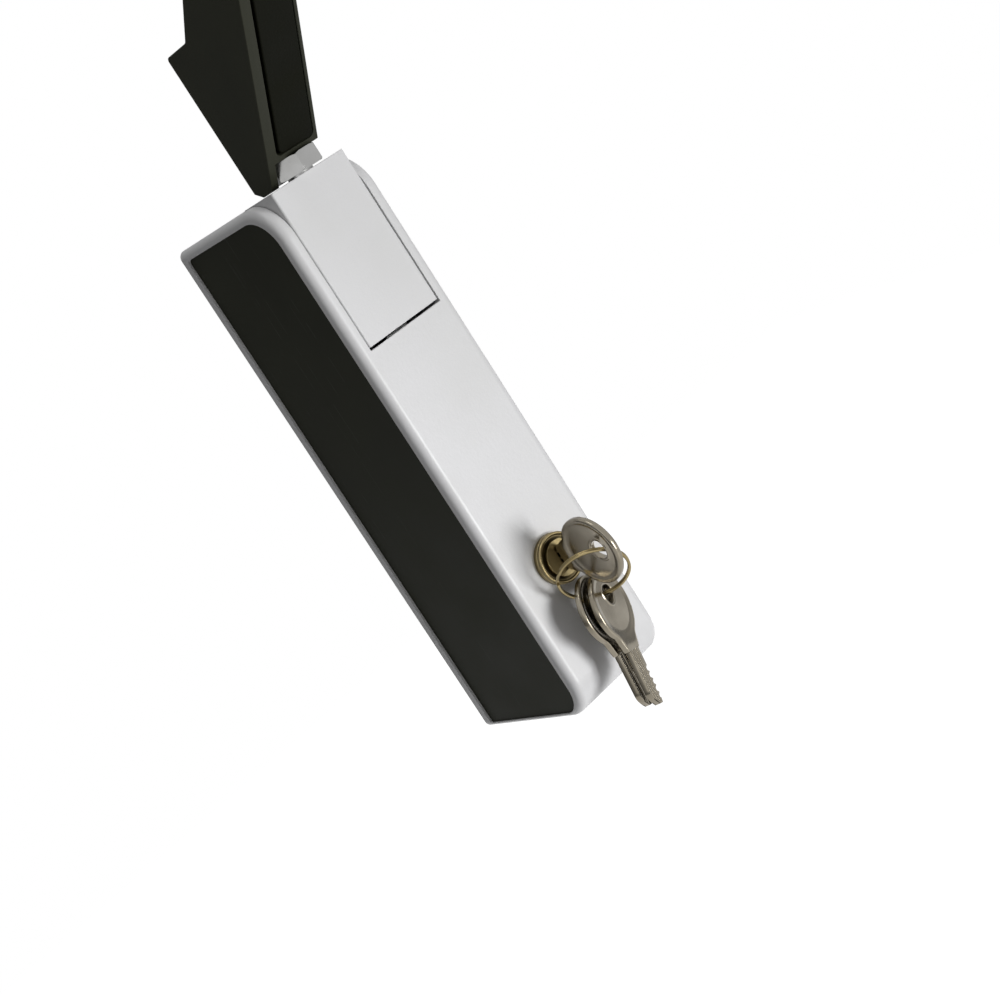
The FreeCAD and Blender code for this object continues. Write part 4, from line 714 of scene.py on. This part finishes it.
def ring_directions():
    """Level direction across the ring, and the one down its slope."""
    across = np.array([-math.cos(RING_YAW), math.sin(RING_YAW), 0.0])
    slope = math.sin(RING_TILT)
    down = np.array([math.sin(RING_YAW) * slope, math.cos(RING_YAW) * slope, -math.cos(RING_TILT)])
    return across, down


def nearly_square(wave):
    """The wave raised to a power below 1, with its sign kept."""
    return np.sign(wave) * np.abs(wave) ** WIRE_SQUARENESS


def split_ring():
    """Two turns of a rounded flat section, offset along the ring's axis by a soft step."""
    across, down = ring_directions()
    normal = np.cross(across, down)
    seat = BOW_CENTRE - [0, HOLE_OFFSET, RING_SAG]
    centre = seat - (down * math.cos(RING_SEAT) + across * math.sin(RING_SEAT)) * RING_RADIUS
    angle = np.linspace(RING_STEP, 4 * math.pi - RING_STEP, WIRE_ROWS)
    shift = TURN_APART * (soft_step(angle, 2 * math.pi - RING_STEP, 2 * math.pi + RING_STEP) - 0.5)
    corner = np.linspace(0, 2 * math.pi, WIRE_POINTS, endpoint=False)
    across_wire = RING_WIDTH / 2 * nearly_square(np.cos(corner))
    up_wire = WIRE_HALF * nearly_square(np.sin(corner))
    turn = angle + WIRE_START
    spoke = np.cos(turn)[:, None] * down + np.sin(turn)[:, None] * across
    reach = (RING_RADIUS + across_wire)[None, :, None]
    height = (shift[:, None] + up_wire[None, :])[..., None]
    return closed_ends(centre + spoke[:, None, :] * reach + normal * height)


make_piece("key_ring", [patch(split_ring())], "ring", "yellow_brass")

# %% [markdown]
# The cylinder's trim is turned work, so its pieces are a profile turned about one axis.
# The rosette has a beaded rim that stands proud, and the head of the cylinder lies in it as a shallow dish
# in a much darker brass; that darkness is a painted dark reflection, and with the dish it makes the dark round
# inside the bright edge.
# %% Turned pieces
CASE_FRONT = -67.0
ROSETTE_RADIUS = 9.4
ROSETTE_BORE = 7.52
ROSETTE_FLANGE = -1.7
ROSETTE_FLOOR = -2.2
ROSETTE_FRONT = -3.6
NECK_SINK = 0.15
NECK_FRONT = -2.3
BEAD = 0.54
BODY_BACK = 19.0
BODY_RADIUS = 7.5
PLUG_BORE = 5.66
HEAD_RADIUS = 8.3
HEAD_FRONT = -3.05
HEAD_ROUND = 0.3
DISH_DEPTH = -2.55
TURNED_POINTS = 96


def turned(profile):
    """Closed profile of (radius, depth behind the front) turned about the cylinder's axis."""
    profile = np.array(profile)
    angle = np.linspace(0, 2 * math.pi, TURNED_POINTS, endpoint=False)
    radius = profile[:, :1]
    depth = np.broadcast_to(CASE_FRONT + profile[:, 1:], (len(profile), len(angle)))
    return np.stack([CYLINDER_X + radius * np.cos(angle), depth, CYLINDER_Z + radius * np.sin(angle)], -1)


def arc_points(centre_radius, centre_depth, size, start, end, count):
    """Points of a profile on a circular arc; angles in degrees from outwards to forwards."""
    angle = np.radians(np.linspace(start, end, count))
    return [(centre_radius + size * math.cos(a), centre_depth - size * math.sin(a)) for a in angle]


neck = ROSETTE_RADIUS - NECK_SINK
rosette = [(ROSETTE_BORE, 0), (ROSETTE_RADIUS, 0), (ROSETTE_RADIUS, ROSETTE_FLANGE)]
rosette += [(neck, ROSETTE_FLANGE - NECK_SINK), (neck, NECK_FRONT)]
rosette += arc_points(ROSETTE_RADIUS - BEAD, ROSETTE_FRONT + BEAD, BEAD, -20, 180, 9)
rosette += [(ROSETTE_RADIUS - 2 * BEAD, ROSETTE_FLOOR), (ROSETTE_BORE, ROSETTE_FLOOR)]
make_piece("cylinder_rosette", [patch(turned(rosette), wrap_rows=True)], "case", "yellow_brass")
head = [(PLUG_BORE, BODY_BACK), (BODY_RADIUS, BODY_BACK)]
head += [(BODY_RADIUS, ROSETTE_FLOOR), (HEAD_RADIUS, ROSETTE_FLOOR)]
head += arc_points(HEAD_RADIUS - HEAD_ROUND, HEAD_FRONT + HEAD_ROUND, HEAD_ROUND, 0, 90, 4)
head += [(7.7, -3.0), (7.2, -2.7), (6.4, DISH_DEPTH), (PLUG_BORE, DISH_DEPTH)]
head_patch = patch(turned(head), wrap_rows=True)
# The head takes the darker brass, whose darkness is a painted dark reflection.
make_piece("cylinder_body", [head_patch], "case", "yellow_brass", finish="aged_brass")

# %% [markdown]
# A cast or pressed edge is never sharp, and its roundness is what catches the light. The
# lever, its grip strip and the nut are copies of their loaded solids, merged so that
# faces share their corners, with a Bevel modifier that rounds only the true edges.
# %% Soft edges
FLAT_ENOUGH = math.radians(1)


def softened(name, body, width):
    """Merged copy of a loaded piece whose edges are rounded by so many millimetres."""
    mesh = nodes[name].data.copy()
    shape = bmesh.new()
    shape.from_mesh(mesh)
    bmesh.ops.remove_doubles(shape, verts=shape.verts, dist=SAME_PLACE)
    bmesh.ops.dissolve_limit(shape, angle_limit=FLAT_ENOUGH, verts=shape.verts, edges=shape.edges)
    shape.to_mesh(mesh)
    shape.free()
    piece = put_in_place(name + "_softened", mesh, body, name)
    rounding = piece.modifiers.new("rounding", "BEVEL")
    rounding.width = width * MM
    rounding.segments = 3
    rounding.limit_method = "ANGLE"
    rounding.angle_limit = SHARP_EDGE


softened("lever_arm", "lever", 0.8)
softened("grip_insert", "lever", 0.5)
softened("lock_nut", "lever", 0.35)

# %% [markdown]
# The return spring is a helix between the top wall and the drive rack. In the lock it is squashed
# towards the wall as the lever swings, because the rack that rises under it takes up room; here it is made at one
# length and rides on the case.
# %% Return spring
COIL_RADIUS = 3.4
WIRE_RADIUS = 0.6
COIL_TURNS = 6
COIL_Y = -39.4
COIL_TOP = 102.0
COIL_LENGTH = 40.0
ROWS_A_TURN = 40
COIL_POINTS = 12


def helix():
    """Wire of radius w on (R cos t, R sin t, z falling evenly with t), its sections upright."""
    t = np.linspace(0, 2 * math.pi * COIL_TURNS, ROWS_A_TURN * COIL_TURNS + 1)[:, None]
    around = np.linspace(0, 2 * math.pi, COIL_POINTS, endpoint=False)[None]
    reach = COIL_RADIUS + WIRE_RADIUS * np.cos(around)
    fall = (COIL_LENGTH - 2 * WIRE_RADIUS) * t / t[-1]
    z = COIL_TOP - WIRE_RADIUS - fall + WIRE_RADIUS * np.sin(around)
    return closed_ends(np.stack([reach * np.cos(t), COIL_Y + reach * np.sin(t), z], -1))


spring = make_piece("return_spring", [patch(helix())], "case", "spring_steel")
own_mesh(spring)

# %% [markdown]
# Four short screws hold the back plate. Each is one surface on a polar grid: the rows go
# up the shank, over the edge of the head, in to the outline of a cross and down its walls.
# The cross is the nearer of an arm's end and its side at each angle.
# %% Screws of the back plate
SCREW_RADIUS = 1.5
SCREW_FOOT = -8.0
SCREW_HEAD = -0.1
SCREW_X = 16.0
SCREW_HEIGHTS = (72.0, -73.0)
HEAD_EDGE = 0.15
ARM_LENGTH = 0.95
ARM_HALF = 0.25
RECESS = 0.7
RECESS_TAPER = 0.7
NEARLY_ZERO = 1e-6
SCREW_POINTS = 64


def cross_screw(x, z):
    """Rows of one screw that points along y, from its foot to the bottom of its recess."""
    angle = np.linspace(0, 2 * math.pi, SCREW_POINTS, endpoint=False)
    from_arm = (angle + math.pi / 4) % (math.pi / 2) - math.pi / 4
    side_of_arm = ARM_HALF / np.maximum(np.abs(np.sin(from_arm)), NEARLY_ZERO)
    cross = np.minimum(ARM_LENGTH / np.cos(from_arm), side_of_arm)
    rim = np.full(len(angle), SCREW_RADIUS)
    rows = [(rim, SCREW_FOOT), (rim, SCREW_HEAD - HEAD_EDGE), (rim - HEAD_EDGE, SCREW_HEAD)]
    rows += [(cross, SCREW_HEAD), (cross * RECESS_TAPER, SCREW_HEAD - RECESS)]
    grid = [np.stack([x + r * np.cos(angle), np.full(len(r), y), z + r * np.sin(angle)], -1) for r, y in rows]
    return closed_ends(np.stack(grid))


screws = [patch(cross_screw(x, z)) for x in (-SCREW_X, SCREW_X) for z in SCREW_HEIGHTS]
make_piece("back_plate_screws", screws, "case", "zinc_steel")
